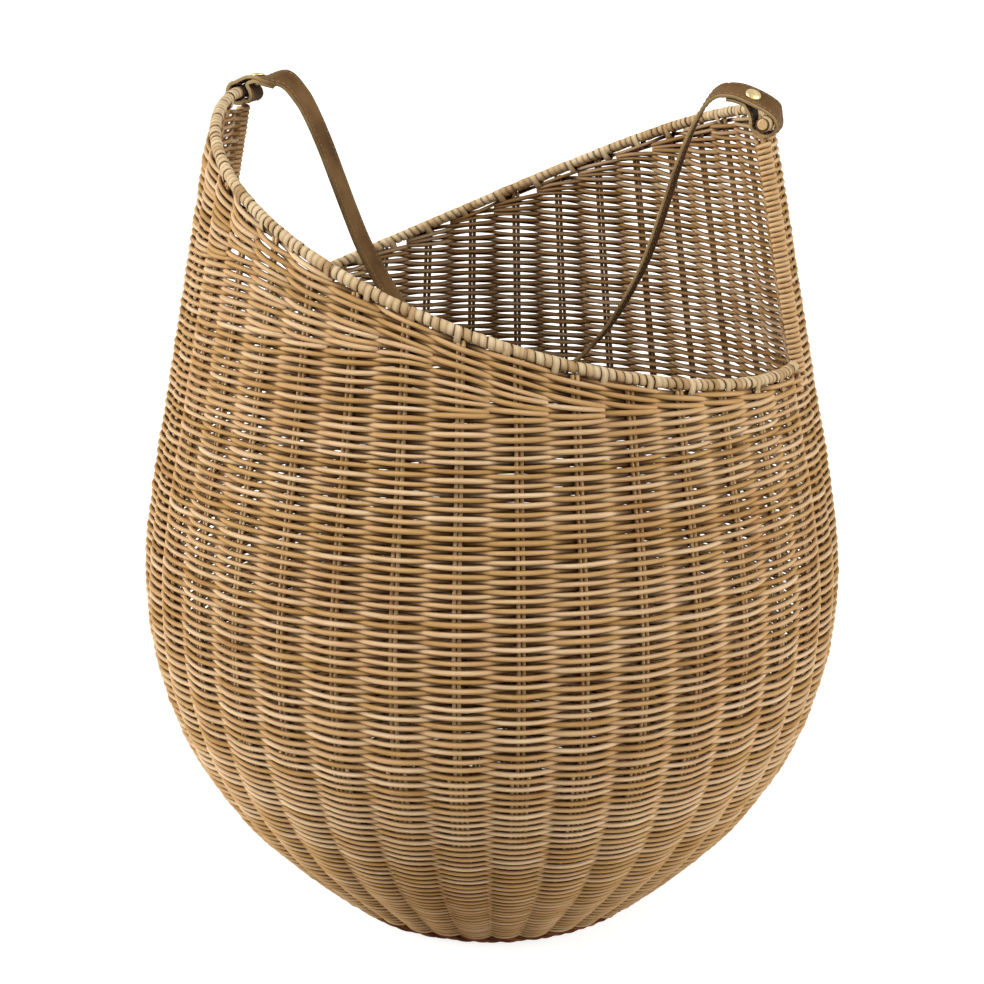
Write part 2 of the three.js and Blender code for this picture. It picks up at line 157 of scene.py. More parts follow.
def round_axis(radius: np.ndarray, turn: np.ndarray, height: np.ndarray) -> np.ndarray:
    """Points or directions at a distance from +Z, a turn about it and a height."""
    return np.stack([radius * np.cos(turn), radius * np.sin(turn), height], -1)


def dress(piece: bpy.types.Object, node: str) -> None:
    """Lets a piece ride on the basket in place of a node.

    Args:
        piece: The piece.
        node: The node that it stands for.
    """
    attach(piece, BASKET)
    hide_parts(node)


# Finishes


class Nodes:
    """A node tree, with short ways to add to it."""

    # The colour sockets of a Mix node, which share their names with those of its other kinds
    MIX_INPUTS = (0, 6, 7)
    MIX_OUTPUT = 2

    def __init__(self, tree: bpy.types.NodeTree) -> None:
        """Starts with the nodes that the tree has."""
        self.tree = tree

    def add(self, kind: str, **values: object) -> bpy.types.Node:
        """Adds a node.

        Args:
            kind: The node's type, without its prefix.
            values: Properties of the node.

        Returns:
            The node.
        """
        node = self.tree.nodes.new("ShaderNode" + kind)
        for key, value in values.items():
            setattr(node, key, value)
        return node

    def link(self, source: bpy.types.NodeSocket, target: bpy.types.NodeSocket) -> None:
        """Joins two sockets."""
        self.tree.links.new(source, target)

    def attribute(self, name: str) -> bpy.types.NodeSocket:
        """The value of a mesh attribute."""
        return self.add("Attribute", attribute_name=name).outputs["Fac"]

    def math(self, how: str, a: object, b: object = 0.0, clamp: bool = False) -> bpy.types.NodeSocket:
        """A sum of two sockets or numbers.

        Args:
            how: The operation.
            a: First socket or number.
            b: Second socket or number.
            clamp: Keeps the result from 0 to 1.

        Returns:
            The result's socket.
        """
        node = self.add("Math", operation=how, use_clamp=clamp)
        for slot, value in zip(node.inputs, (a, b)):
            if isinstance(value, (int, float)):
                slot.default_value = value
            else:
                self.link(value, slot)
        return node.outputs[0]

    def over(self, value: bpy.types.NodeSocket, start: float, contrast: float) -> bpy.types.NodeSocket:
        """How far a value lies over a start, times a contrast, kept from 0 to 1."""
        return self.math("MULTIPLY", self.math("SUBTRACT", value, start, True), contrast, True)

    def noise(
        self, vector: bpy.types.NodeSocket, scale: Sequence[float], detail: float = 3.0,
    ) -> bpy.types.NodeSocket:
        """Noise over coordinates, scaled on each axis.

        Args:
            vector: The coordinates.
            scale: Scale on each axis.
            detail: Octaves.

        Returns:
            The noise value's socket.
        """
        mapping = self.add("Mapping")
        mapping.inputs["Scale"].default_value = scale
        self.link(vector, mapping.inputs["Vector"])
        noise = self.add("TexNoise")
        noise.inputs["Scale"].default_value = 1.0
        noise.inputs["Detail"].default_value = detail
        self.link(mapping.outputs["Vector"], noise.inputs["Vector"])
        return noise.outputs["Fac"]

    def ramp(
        self, value: bpy.types.NodeSocket, stops: Sequence[Tuple[float, Sequence[float]]],
    ) -> bpy.types.NodeSocket:
        """Colours along a value.

        Args:
            value: The value, from 0 to 1.
            stops: Places and their colours.

        Returns:
            The colour's socket.
        """
        node = self.add("ValToRGB")
        points = node.color_ramp.elements
        while len(points) < len(stops):
            points.new(0.5)
        for point, (place, colour) in zip(points, stops):
            point.position = place
            point.color = (*colour, 1.0)
        self.link(value, node.inputs["Fac"])
        return node.outputs["Color"]

    def mix(self, how: str, share: object, a: object, b: object) -> bpy.types.NodeSocket:
        """Two colours mixed.

        Args:
            how: The blend type.
            share: Socket or number, how much of the second.
            a: First colour or socket.
            b: Second colour or socket.

        Returns:
            The colour's socket.
        """
        node = self.add("Mix", data_type="RGBA", blend_type=how)
        for number, value in zip(self.MIX_INPUTS, (share, a, b)):
            slot = node.inputs[number]
            if isinstance(value, bpy.types.NodeSocket):
                self.link(value, slot)
            elif isinstance(value, (int, float)):
                slot.default_value = value
            else:
                slot.default_value = (*value, 1.0)
        return node.outputs[self.MIX_OUTPUT]

    def seen(self) -> bpy.types.NodeSocket:
        """1 for rays from the camera, from gloss and from glass, otherwise 0.

        Returns:
            The value's socket.
        """
        rays = self.add("LightPath").outputs
        seen = self.math("ADD", rays["Is Camera Ray"], rays["Is Glossy Ray"], True)
        return self.math("ADD", seen, rays["Is Transmission Ray"], True)


class Surface(Nodes):
    """The node tree of a new material."""

    def __init__(self, name: str) -> None:
        """Starts a material with only a shader and its output.

        Args:
            name: The material's name.
        """
        self.material = bpy.data.materials.new(name)
        self.material.use_nodes = True
        super().__init__(self.material.node_tree)
        self.shader = self.tree.nodes["Principled BSDF"]

    def set(self, **values: object) -> None:
        """Sets sockets of the shader to numbers or colours, named with _ in place of spaces."""
        for key, value in values.items():
            self.shader.inputs[key.replace("_", " ")].default_value = value

    def colour(self, colour: bpy.types.NodeSocket) -> None:
        """Gives the shader its colour."""
        self.link(colour, self.shader.inputs["Base Color"])

    def bump(self, height: bpy.types.NodeSocket, distance: float, strength: float = 1.0) -> None:
        """Gives the shader a bump of a height in metres.

        Args:
            height: The height's socket.
            distance: What a height of 1 is, in metres.
            strength: How much of the bump shows.
        """
        node = self.add("Bump")
        node.inputs["Distance"].default_value = distance
        node.inputs["Strength"].default_value = strength
        self.link(height, node.inputs["Height"])
        self.link(node.outputs["Normal"], self.shader.inputs["Normal"])


Colour = Tuple[float, float, float]
Scale = Tuple[float, float, float]


def srgb(red: int, green: int, blue: int) -> Colour:
    """A colour of 8-bit screen values as scene values.

    Args:
        red: Red, from 0 to 255.
        green: Green, from 0 to 255.
        blue: Blue, from 0 to 255.

    Returns:
        Its parts, each from 0 to 1.
    """
    def one(value: int) -> float:
        """One part of the colour."""
        share = value / 255
        return share / 12.92 if share <= 0.04045 else ((share + 0.055) / 1.055) ** 2.4
    return one(red), one(green), one(blue)


@dataclass(frozen=True)
class CaneFinish:
    """Bare rattan: strands that differ in tone, with fibres along them, and painted shade that darkens them
    towards the crevice colour.

    The scales of fibres, patches and flecks are along and round a strand. Those of the weathered
    parts are over the whole basket.
    """

    name: str
    tones: Tuple[Colour, ...]
    fibre_scale: Scale = (90, 2600, 1)
    fibre_start: float = 0.5
    fibre_contrast: float = 1.6
    fibre_shade: Colour = (0.62, 0.52, 0.42)
    fibre_depth: float = 0.12 * MM
    patch_scale: Scale = (38, 60, 1)
    patch_contrast: float = 1.1
    patch_depth_share: float = 0.6
    fleck_scale: Scale = (420, 900, 1)
    fleck_start: float = 0.66
    fleck_contrast: float = 3.5
    fleck_shade: Colour = (0.62, 0.45, 0.33)
    weathered_scale: Scale = (20, 20, 15)
    weathered_start: float = 0.52
    weathered_contrast: float = 4.0
    weathered_share: float = 0.45
    weathered_shade: Colour = (0.66, 0.5, 0.36)
    # Painted shade colour: the strands' sides between rows, their inner sides and the parts that lie in
    # behind stakes are mixed towards it.
    crevice_painted_shade: Colour = srgb(62, 25, 3)
    roughness: float = 0.7
    specular: float = 0.05

    def material(self) -> bpy.types.Material:
        """The finish as a material. It reads the strands' UV map, tone and inside attributes; inside holds
        their painted shade.

        Returns:
            The material.
        """
        nodes = Surface(self.name)
        uv = nodes.add("UVMap", uv_map="strand").outputs["UV"]
        fibre = nodes.noise(uv, self.fibre_scale, 2.0)
        patch = nodes.noise(uv, self.patch_scale, 4.0)
        fleck = nodes.noise(uv, self.fleck_scale, 2.0)
        place = nodes.add("TexCoord").outputs["Object"]
        broad = nodes.noise(place, self.weathered_scale)
        shifted = nodes.math(
            "SUBTRACT", nodes.math("MULTIPLY", patch, self.patch_contrast), self.patch_contrast / 2)
        value = nodes.math("ADD", nodes.attribute("tone"), shifted, True)
        stops = [(i / (len(self.tones) - 1), tone) for i, tone in enumerate(self.tones)]
        colour = nodes.ramp(value, stops)
        streak = nodes.over(fibre, self.fibre_start, self.fibre_contrast)
        colour = nodes.mix("MULTIPLY", streak, colour, self.fibre_shade)
        spots = nodes.over(fleck, self.fleck_start, self.fleck_contrast)
        colour = nodes.mix("MULTIPLY", spots, colour, self.fleck_shade)
        brown = nodes.over(broad, self.weathered_start, self.weathered_contrast)
        brown = nodes.math("MULTIPLY", brown, self.weathered_share)
        colour = nodes.mix("MULTIPLY", brown, colour, self.weathered_shade)
        # Painted shade: mixes the colour towards the crevice colour by the inside attribute.
        nodes.colour(nodes.mix("MIX", nodes.attribute("inside"), colour, self.crevice_painted_shade))
        nodes.set(Roughness=self.roughness, Specular_IOR_Level=self.specular)
        relief = nodes.math("ADD", fibre, nodes.math("MULTIPLY", patch, self.patch_depth_share))
        nodes.bump(relief, self.fibre_depth)
        return nodes.material


@dataclass(frozen=True)
class LeatherFinish:
    """Waxed leather with a fine grain, with painted shade on the side that faces in."""

    name: str
    face: Colour = srgb(100, 73, 42)
    worn: Colour = srgb(120, 92, 57)
    deep: Colour = srgb(72, 49, 27)
    # Painted shade on the inner face: how much of it, and the colour that it multiplies by.
    inner_painted_shade_share: float = 0.75
    inner_painted_shade: Colour = (0.3, 0.22, 0.16)
    cloud_scale: Scale = (42, 42, 42)
    grain_scale: Scale = (1500, 1500, 1500)
    grain_share: float = 0.35
    grain_shade: Colour = (0.55, 0.5, 0.42)
    grain_depth: float = 0.12 * MM
    cell_scale: float = 1100
    roughness: float = 0.6
    specular: float = 0.08

    def material(self) -> bpy.types.Material:
        """The finish as a material. It reads the strap's inside attribute, the share of painted shade on the
        inner face.

        Returns:
            The material.
        """
        nodes = Surface(self.name)
        place = nodes.add("TexCoord").outputs["Object"]
        broad = nodes.noise(place, self.cloud_scale, 5.0)
        grain = nodes.noise(place, self.grain_scale)
        cells = nodes.add("TexVoronoi", feature="DISTANCE_TO_EDGE")
        cells.inputs["Scale"].default_value = self.cell_scale
        nodes.link(place, cells.inputs["Vector"])
        colour = nodes.ramp(broad, [(0.3, self.deep), (0.5, self.face), (0.72, self.worn)])
        speckle = nodes.math("MULTIPLY", grain, self.grain_share)
        colour = nodes.mix("MULTIPLY", speckle, colour, self.grain_shade)
        # Painted shade on the leather's inner face.
        inner = nodes.math("MULTIPLY", nodes.attribute("inside"), self.inner_painted_shade_share)
        nodes.colour(nodes.mix("MULTIPLY", inner, colour, self.inner_painted_shade))
        nodes.set(Roughness=self.roughness, Specular_IOR_Level=self.specular)
        height = nodes.math("ADD", nodes.math("MULTIPLY", cells.outputs["Distance"], 2.0), grain)
        nodes.bump(height, self.grain_depth, 0.7)
        return nodes.material


@dataclass(frozen=True)
class PlainFinish:
    """A metal or a thread: one colour, with faint scuffs."""

    name: str
    colour: Colour
    roughness: float
    metallic: float = 0.0
    scuff_scale: Scale = (700, 700, 2200)
    scuff_shade: float = 0.72
    scuff_roughness: float = 0.25
    scuff_depth: float = 0.03 * MM

    def material(self) -> bpy.types.Material:
        """The finish as a material.

        Returns:
            The material.
        """
        nodes = Surface(self.name)
        place = nodes.add("TexCoord").outputs["Object"]
        scuff = nodes.noise(place, self.scuff_scale, 4.0)
        dull = tuple(self.scuff_shade * part for part in self.colour)
        nodes.colour(nodes.ramp(scuff, [(0.35, dull), (0.6, self.colour)]))
        rough = nodes.math(
            "ADD", nodes.math("MULTIPLY", scuff, self.scuff_roughness), self.roughness - 0.12, True)
        nodes.link(rough, nodes.shader.inputs["Roughness"])
        nodes.set(Metallic=self.metallic)
        nodes.bump(scuff, self.scuff_depth)
        return nodes.material


class Finish(Enum):
    """The finishes of the basket's pieces."""

    WEAVE = CaneFinish("woven_rattan", (
        srgb(234, 203, 163), srgb(218, 184, 140), srgb(208, 169, 121), srgb(193, 154, 99),
        srgb(172, 130, 82)))
    WOUND = CaneFinish("wound_rattan", (srgb(220, 197, 158), srgb(200, 172, 130), srgb(162, 126, 84)))
    ROD = CaneFinish("rattan_rods", (srgb(222, 190, 144), srgb(204, 168, 120), srgb(172, 130, 84)))
    # Darker, redder tones for the foot's rods than for the weave.
    FOOT = CaneFinish("dark_foot_rattan", (srgb(150, 100, 62), srgb(126, 78, 46), srgb(98, 54, 32)))
    LEATHER = LeatherFinish("strap_leather")
    # The cut edge: paler tones, and less painted shade on its inner face.
    LEATHER_EDGE = LeatherFinish(
        "cut_leather", srgb(168, 142, 100), srgb(190, 166, 122), srgb(128, 102, 66), 0.2)
    BRASS = PlainFinish("rivet_brass", srgb(224, 200, 142), 0.3, 1.0)
    THREAD = PlainFinish("waxed_thread", srgb(150, 122, 82), 0.8)

    @property
    def material(self) -> bpy.types.Material:
        """The finish's material, made the first time that it is asked for."""
        return bpy.data.materials.get(self.value.name) or self.value.material()


# Strands


@dataclass
class StrandMesh:
    """Gathers strands of cane and makes one mesh of them."""

    name: str
    sides: int = 7
    map_shift: float = 13.7 * MM
    tip_reach: float = 0.35
    tip_share: float = 0.74
    # Painted shade added on the side of a strand that lies behind a stake, and on its upper and lower sides
    # where it lies in.
    recess_painted_shade: float = 0.8
    edge_painted_shade: float = 0.3
    points: List[np.ndarray] = field(default_factory=list)
    quads: List[np.ndarray] = field(default_factory=list)
    caps: List[np.ndarray] = field(default_factory=list)
    maps: List[np.ndarray] = field(default_factory=list)
    tones: List[np.ndarray] = field(default_factory=list)
    # Painted shade of each point, stored as the inside attribute.
    painted_shades: List[np.ndarray] = field(default_factory=list)
    count: int = 0

    def add(
        self,
        centres: np.ndarray,
        outward: np.ndarray,
        half_out: np.ndarray,
        half_up: np.ndarray,
        tone: Union[float, np.ndarray],
        closed: bool = False,
        squareness: float = 1.0,
        painted_side_shade: Tuple[float, float, float] = (0.0, 0.68, 0.36),
        recess: Optional[np.ndarray] = None,
    ) -> None:
        """Adds one strand.

        Args:
            centres: Points of its centre line.
            outward: Directions that its outer face looks in, one for each point.
            half_out: Half its thickness along outward at each point.
            half_up: Half its width across outward at each point.
            tone: Its place in the finish's tones, from 0 to 1, one for all or one for each point.
            closed: Whether its end meets its start.
            squareness: 1 for an oval section, less for a flatter one.
            painted_side_shade: How much painted shade its outer side, its upper and lower sides and its inner
                side get.
            recess: How far in each point lies, from -1 outside to 1 inside, or None.
        """
        if not closed:
            centres, outward, half_out, half_up = self._with_tips(centres, outward, half_out, half_up)
            if recess is not None:
                recess = np.concatenate([recess[:1], recess, recess[-1:]])
            if np.ndim(tone):
                tone = np.concatenate([tone[:1], tone, tone[-1:]])
        number = len(centres)
        spans = number if closed else number - 1
        self.points.append(self._rings(centres, outward, half_out, half_up, closed, squareness))
        self.tones.append(np.repeat(np.broadcast_to(tone, number), self.sides))
        self.painted_shades.append(self._painted_shade(number, painted_side_shade, recess))
        self.quads.append(self._faces(number, spans))
        girth = FULL_TURN * float(np.mean(half_out + half_up)) / 2
        self.maps.append(self._map(centres, spans, girth))
        if not closed:
            last = self.count + (number - 1) * self.sides
            self.caps.append(self.count + np.arange(self.sides)[::-1])
            self.caps.append(last + np.arange(self.sides))
        self.count += number * self.sides

    @property
    def angles(self) -> np.ndarray:
        """Angles of a section's points, from its outer side."""
        return FULL_TURN * np.arange(self.sides) / self.sides

    def _rings(
        self, centres: np.ndarray, outward: np.ndarray, half_out: np.ndarray, half_up: np.ndarray,
        closed: bool, squareness: float,
    ) -> np.ndarray:
        """The points of a strand's sections, one after another.

        Args:
            centres: Points of its centre line.
            outward: Directions that its outer face looks in.
            half_out: Half its thickness along outward at each point.
            half_up: Half its width across outward at each point.
            closed: Whether its end meets its start.
            squareness: 1 for an oval section, less for a flatter one.

        Returns:
            One row for each point.
        """
        if closed:
            along = np.roll(centres, -1, 0) - np.roll(centres, 1, 0)
        else:
            along = np.gradient(centres, axis=0)
        along = unit_rows(along)
        first = unit_rows(outward - along * np.sum(outward * along, 1)[:, None])
        second = np.cross(along, first)
        cosines, sines = (
            np.sign(values) * np.abs(values) ** squareness
            for values in (np.cos(self.angles), np.sin(self.angles)))
        rings = (
            centres[:, None, :]
            + first[:, None, :] * (half_out[:, None] * cosines)[:, :, None]
            + second[:, None, :] * (half_up[:, None] * sines)[:, :, None]
        )
        return rings.reshape(-1, 3)

    def _painted_shade(
        self, number: int, painted_side_shade: Tuple[float, float, float], recess: Optional[np.ndarray],
    ) -> np.ndarray:
        """Painted shade at each point of a strand: by the side that it is on, and more where it lies in.

        Args:
            number: How many sections the strand has.
            painted_side_shade: How much painted shade its outer side, its upper and lower sides and its inner
                side get.
            recess: How far in each section lies, from -1 outside to 1 inside, or None.

        Returns:
            One value for each point, from 0 to 1.
        """
        facing = np.cos(self.angles)
        dark = np.tile(np.interp(facing, (-1.0, 0.0, 1.0), painted_side_shade[::-1]), (number, 1))
        if recess is not None:
            # More painted shade where the strand lies behind a stake, on its hidden side and on its upper and
            # lower sides.
            recess_shade = np.clip(facing[None, :] * recess[:, None], 0, 1)
            edges = np.clip(recess, 0, 1)[:, None] * (1 - np.abs(facing))[None, :]
            dark = dark + self.recess_painted_shade * recess_shade + self.edge_painted_shade * edges
        return np.clip(dark, 0, 1).ravel()

    def _faces(self, number: int, spans: int) -> np.ndarray:
        """The faces between a strand's sections.

        Args:
            number: How many sections the strand has.
            spans: How many spans between them have faces.

        Returns:
            The four points of each face.
        """
        low = np.arange(spans)[:, None] * self.sides
        high = (np.arange(1, spans + 1)[:, None] % number) * self.sides
        here = np.arange(self.sides)[None, :]
        there = (here + 1) % self.sides
        faces = np.stack([low + here, low + there, high + there, high + here], -1) + self.count
        return faces.reshape(-1, 4)

    def _map(self, centres: np.ndarray, spans: int, girth: float) -> np.ndarray:
        """Map places of the faces' corners: along the strand, and round it, in metres.

        Args:
            centres: Points of the strand's centre line.
            spans: How many spans between them have faces.
            girth: The way round the strand.

        Returns:
            One row for each corner.
        """
        steps = np.linalg.norm(np.roll(centres, -1, 0) - centres, axis=1)
        lengths = np.concatenate([[0.0], np.cumsum(steps)])[: spans + 1] + self.count * self.map_shift
        around = np.arange(self.sides + 1) / self.sides * girth
        corner = np.empty((spans, self.sides, 4, 2))
        corner[..., 0, 0] = corner[..., 1, 0] = lengths[:spans, None]
        corner[..., 2, 0] = corner[..., 3, 0] = lengths[1:, None]
        corner[..., 0, 1] = corner[..., 3, 1] = around[:-1][None, :]
        corner[..., 1, 1] = corner[..., 2, 1] = around[1:][None, :]
        return corner.reshape(-1, 2)

    def _with_tips(
        self, centres: np.ndarray, outward: np.ndarray, half_out: np.ndarray, half_up: np.ndarray,
    ) -> Tuple[np.ndarray, np.ndarray, np.ndarray, np.ndarray]:
        """The strand with a small rounding at each cut end.

        Args:
            centres: Points of its centre line.
            outward: Directions that its outer face looks in.
            half_out: Half its thickness along outward at each point.
            half_up: Half its width across outward at each point.

        Returns:
            The same four, with one more section near each end.
        """
        reach = self.tip_reach * float(min(half_out[0], half_up[0]))
        start = centres[0] + (centres[1] - centres[0]) * reach / np.linalg.norm(centres[1] - centres[0])
        end = centres[-1] + (centres[-2] - centres[-1]) * reach / np.linalg.norm(centres[-2] - centres[-1])
        centres = np.vstack([centres[:1], start[None], centres[1:-1], end[None], centres[-1:]])
        outward = np.vstack([outward[:1], outward, outward[-1:]])
        half_out, half_up = (
            np.concatenate([half[:1] * self.tip_share, half, half[-1:] * self.tip_share])
            for half in (half_out, half_up))
        return centres, outward, half_out, half_up

    def triangles(self) -> int:
        """Triangles so far."""
        return 2 * sum(len(quad) for quad in self.quads) + (self.sides - 2) * len(self.caps)

    def build(self, finish: Finish) -> bpy.types.Object:
        """The strands as one object.

        Args:
            finish: Their finish.

        Returns:
            The object, linked to the scene.
        """
        points = np.concatenate(self.points)
        quads = np.concatenate(self.quads)
        caps = np.array(self.caps, int).reshape(-1, self.sides)
        mesh = bpy.data.meshes.new(self.name)
        mesh.vertices.add(len(points))
        mesh.vertices.foreach_set("co", points.astype(np.float32).ravel())
        mesh.loops.add(quads.size + caps.size)
        mesh.loops.foreach_set("vertex_index", np.concatenate([quads.ravel(), caps.ravel()]).astype(np.int32))
        mesh.polygons.add(len(quads) + len(caps))
        starts = np.concatenate([
            np.arange(len(quads)) * 4, quads.size + np.arange(len(caps)) * self.sides,
        ])
        mesh.polygons.foreach_set("loop_start", starts.astype(np.int32))
        mesh.update(calc_edges=True)
        mesh.validate()
        uv = np.zeros((quads.size + caps.size, 2), np.float32)
        uv[: quads.size] = np.concatenate(self.maps)
        mesh.uv_layers.new(name="strand").data.foreach_set("uv", uv.ravel())
        # The inside attribute carries the strands' painted shade.
        for name, values in (("tone", self.tones), ("inside", self.painted_shades)):
            layer = mesh.attributes.new(name, "FLOAT", "POINT")
            layer.data.foreach_set("value", np.concatenate(values).astype(np.float32))
        smooth = np.ones(len(quads) + len(caps), bool)
        smooth[len(quads):] = False
        mesh.polygons.foreach_set("use_smooth", smooth)
        mesh.materials.append(finish.material)
        piece = bpy.data.objects.new(self.name, mesh)
        bpy.context.scene.collection.objects.link(piece)
        return piece


# The wall that the strands lie in


@dataclass
class Wall:
    """The middle of the basket's wall: a profile turned about +Z."""

    belly_radius: float = 198 * MM
    rim_high: float = 459 * MM
    rim_low: float = 327 * MM
    half_weave: float = 4.1 * MM
    stake_count: int = 38
    strap_width: float = 16 * MM
    edge_lap: float = 5 * MM
    clearance: float = 0.3 * MM
    edge_inset: float = 1.35 * MM
    roll_radius: float = 4.5 * MM
    shares: Curve = (
        (0, 0.48), (0.065, 0.64), (0.13, 0.777), (0.218, 0.902), (0.32, 0.978), (0.43, 1),
        (0.54, 0.972), (0.66, 0.918), (0.785, 0.862), (0.9, 0.812), (1.06, 0.735),
    )

    def __post_init__(self) -> None:
        """Samples the profile and works out where the rim's halves start."""
        outside = catmull_rom(
            [(radius * self.belly_radius, height * self.rim_high) for height, radius in self.shares], 60, 0.0)
        along = unit_rows(np.gradient(outside, axis=0))
        self.out_r, self.out_z = along[:, 1], -along[:, 0]
        self.radius = outside[:, 0] - self.half_weave * self.out_r
        self.height = outside[:, 1] - self.half_weave * self.out_z
        steps = np.hypot(np.diff(self.radius), np.diff(self.height))
        self.length = np.concatenate([[0.0], np.cumsum(steps)])
        roll = self.radius_at(self.rim_high)
        self.edge_turn = -(self.strap_width / 2 + 2 * self.clearance + self.edge_inset) / roll
        self.level_turn = (self.strap_width + self.edge_lap) / roll
        self.stake_pitch = FULL_TURN / self.stake_count
        self.first_stake = self.edge_turn + self.edge_lap / roll

    def radius_at(self, height: float) -> float:
        """Radius of the wall's middle at a height."""
        return float(np.interp(height, self.height, self.radius))

    def along_at(self, height: np.ndarray) -> np.ndarray:
        """Length of the wall from its lowest point up to a height."""
        return np.interp(height, self.height, self.length)

    def height_at(self, along: np.ndarray) -> np.ndarray:
        """Height at a length along the wall."""
        return np.interp(along, self.length, self.height)

    def place(self, turn: np.ndarray, along: np.ndarray, depth: np.ndarray) -> Tuple[np.ndarray, np.ndarray]:
        """Points in the wall.

        Args:
            turn: Angle about +Z of each.
            along: Length up the wall of each.
            depth: How far each is out from the middle.

        Returns:
            The points, and the wall's outward directions there.
        """
        out_r = np.interp(along, self.length, self.out_r)
        out_z = np.interp(along, self.length, self.out_z)
        radius = np.interp(along, self.length, self.radius) + depth * out_r
        height = np.interp(along, self.length, self.height) + depth * out_z
        return round_axis(radius, turn, height), round_axis(out_r, turn, out_z)


@dataclass
class Half:
    """One half of the rim and of the wall under it, from a tall woven edge to the foot of the other."""

    name: str
    wall: Wall
    half_turns: int  # from the right tall end
    power: float  # how late the rim falls from its tall end
    tuck_shares: Tuple[float, float]  # how high among the rows they end, at the tall end and at the low one
    tuck_spread: float  # how far the ends of rows lie from there
    fullness: float  # thickness of its rows against that of the rings
    dip: float = 0.0  # how much lower its tall end lies
    flare: float = 0.0  # how much further out its tall end stands
    dip_turn: float = 1.9
    flare_turn: float = 0.2

    @property
    def start(self) -> float:
        """Turn of its woven edge."""
        return self.wall.edge_turn + HALF_TURN * self.half_turns

    def rim_height(self, turn: np.ndarray) -> np.ndarray:
        """Height of the roll's centre at turns past the tall end.

        Args:
            turn: The turns.

        Returns:
            The heights.
        """
        wall = self.wall
        share = np.clip((turn - wall.level_turn) / (HALF_TURN - wall.level_turn), 0, 1)
        fall = 1 - np.sin(share * HALF_TURN / 2) ** self.power
        height = wall.rim_low + (wall.rim_high - wall.rim_low) * fall
        return height - self.dip * np.cos(np.clip(turn / self.dip_turn, 0, 1) * HALF_TURN / 2) ** 2

    @property
    def top(self) -> float:
        """Height of the roll's centre at the tall end."""
        return float(self.rim_height(np.zeros(1))[0])

    def flare_at(self, turn: np.ndarray) -> np.ndarray:
        """How far the roll stands out from the wall's middle at turns past the tall end."""
        return self.flare * np.exp(-(turn / self.flare_turn) ** 2)

    def rim_along(self, turn: np.ndarray) -> np.ndarray:
        """Length up the wall of the roll's centre."""
        return self.wall.along_at(self.rim_height(turn))


# The weave


@dataclass
class ShortRow:
    """A row of one half of the wall: its number, and where it runs from the half's woven edge."""

    number: int
    turn: np.ndarray
    along: np.ndarray
    from_edge: bool


@dataclass
class RowPlan:
    """The rows of one half over the whole rings.

    They fill the wall up to the rim. Where the rim falls, they end two by two, and those above the
    ends follow the rim.
    """

    wall: Wall
    half: Half
    base: float
    first_number: int
    steps: int
    pitch: float = 2.13 * MM
    top_gap: float = 5.0 * MM
    rows_over_fold: int = 2
    squeeze: float = 0.6  # height of a row that ends, against a whole one
    tip_steps: int = 5
    first_seed: int = 50

    def rows(self) -> List[ShortRow]:
        """The rows, from the lowest up.

        Returns:
            The rows.
        """
        columns = self.wall.stake_count // 2
        first = self.wall.first_stake - self.wall.edge_turn
        turns = np.append(first + self.wall.stake_pitch * np.arange(columns), HALF_TURN)
        room = self.half.rim_along(turns) - self.top_gap + self.pitch / 2 - self.base
        counts = np.maximum(2 * np.round(room / self.pitch / 2), 2).astype(int)
        counts = np.minimum.accumulate(counts)
        rng = np.random.default_rng(self.first_seed + self.half.half_turns)
        order = list(range(counts[0]))
        alongs = {row: [] for row in order}
        ends = {}
        tucked: List[Tuple[List[int], int]] = []
        middles = np.interp(np.arange(columns + 1), (0, columns), self.half.tuck_shares)
        for column, (space, following) in enumerate(zip(room, np.append(counts[1:], counts[-1]))):
            weights = {row: 1.0 for row in order}
            ending = []
            while len(order) - 2 * len(ending) > following:
                pair = self._ending_pair(order, weights, middles[column], rng)
                ending.append(pair)
                for row in pair:
                    weights[row] = self.squeeze
            edges = np.concatenate([[0.0], np.cumsum([weights[row] for row in order])])
            edges = self.base + edges * space / edges[-1]
            for pair, above in tucked:
                low = edges[order.index(above)] if above in order else edges[-1]
                for row in pair:
                    alongs[row].append(float(low))
            for place, row in enumerate(order):
                alongs[row].append(float(edges[place] + edges[place + 1]) / 2)
            tucked = []
            for pair in ending:
                rest = [row for row in order[order.index(pair[1]) + 1:] if weights[row] == 1.0]
                tucked.append((pair, rest[0] if rest else -1))
            for pair in ending:
                for row in pair:
                    ends[row] = column
                    order.remove(row)
        return [
            self._row(row, turns, values, ends.get(row, columns), row >= counts[0] - self.rows_over_fold)
            for row, values in alongs.items() if ends.get(row, columns) > 1
        ]

    def _ending_pair(
        self, order: List[int], weights: Dict[int, float], middle: float, rng: np.random.Generator,
    ) -> List[int]:
        """Two neighbouring whole rows that end together.

        Args:
            order: The rows at this stake, from the lowest up.
            weights: The rows' heights, 1 for a whole one.
            middle: Share of the height round which rows end.
            rng: Where the choice comes from.

        Returns:
            The two rows.
        """
        starts = [i for i in range(len(order) - 1) if weights[order[i]] + weights[order[i + 1]] == 2.0]
        away = (np.array(starts) / len(order) - middle) / self.half.tuck_spread
        chances = np.exp(-away ** 2 / 2)
        place = int(rng.choice(starts, p=chances / chances.sum()))
        return order[place:place + 2]

    def _row(
        self, row: int, turns: np.ndarray, values: Sequence[float], end: int, over_fold: bool,
    ) -> ShortRow:
        """One row through its places at the stakes.

        Args:
            row: Its place from the lowest row at the woven edge.
            turns: Turns of the stakes.
            values: Lengths up the wall at the stakes that it reaches.
            end: The last of them.
            over_fold: Whether it starts only past the fold of the strap.

        Returns:
            The row, with its tip a little past the last stake.
        """
        places = np.stack([turns[:len(values)], np.array(values)], -1)
        line = catmull_rom(places, self.steps, 0.0)[: end * self.steps + self.tip_steps]
        if over_fold:
            line = line[self.steps + self.tip_steps:]
        return ShortRow(self.first_number + row, line[:, 0], line[:, 1], not over_fold)


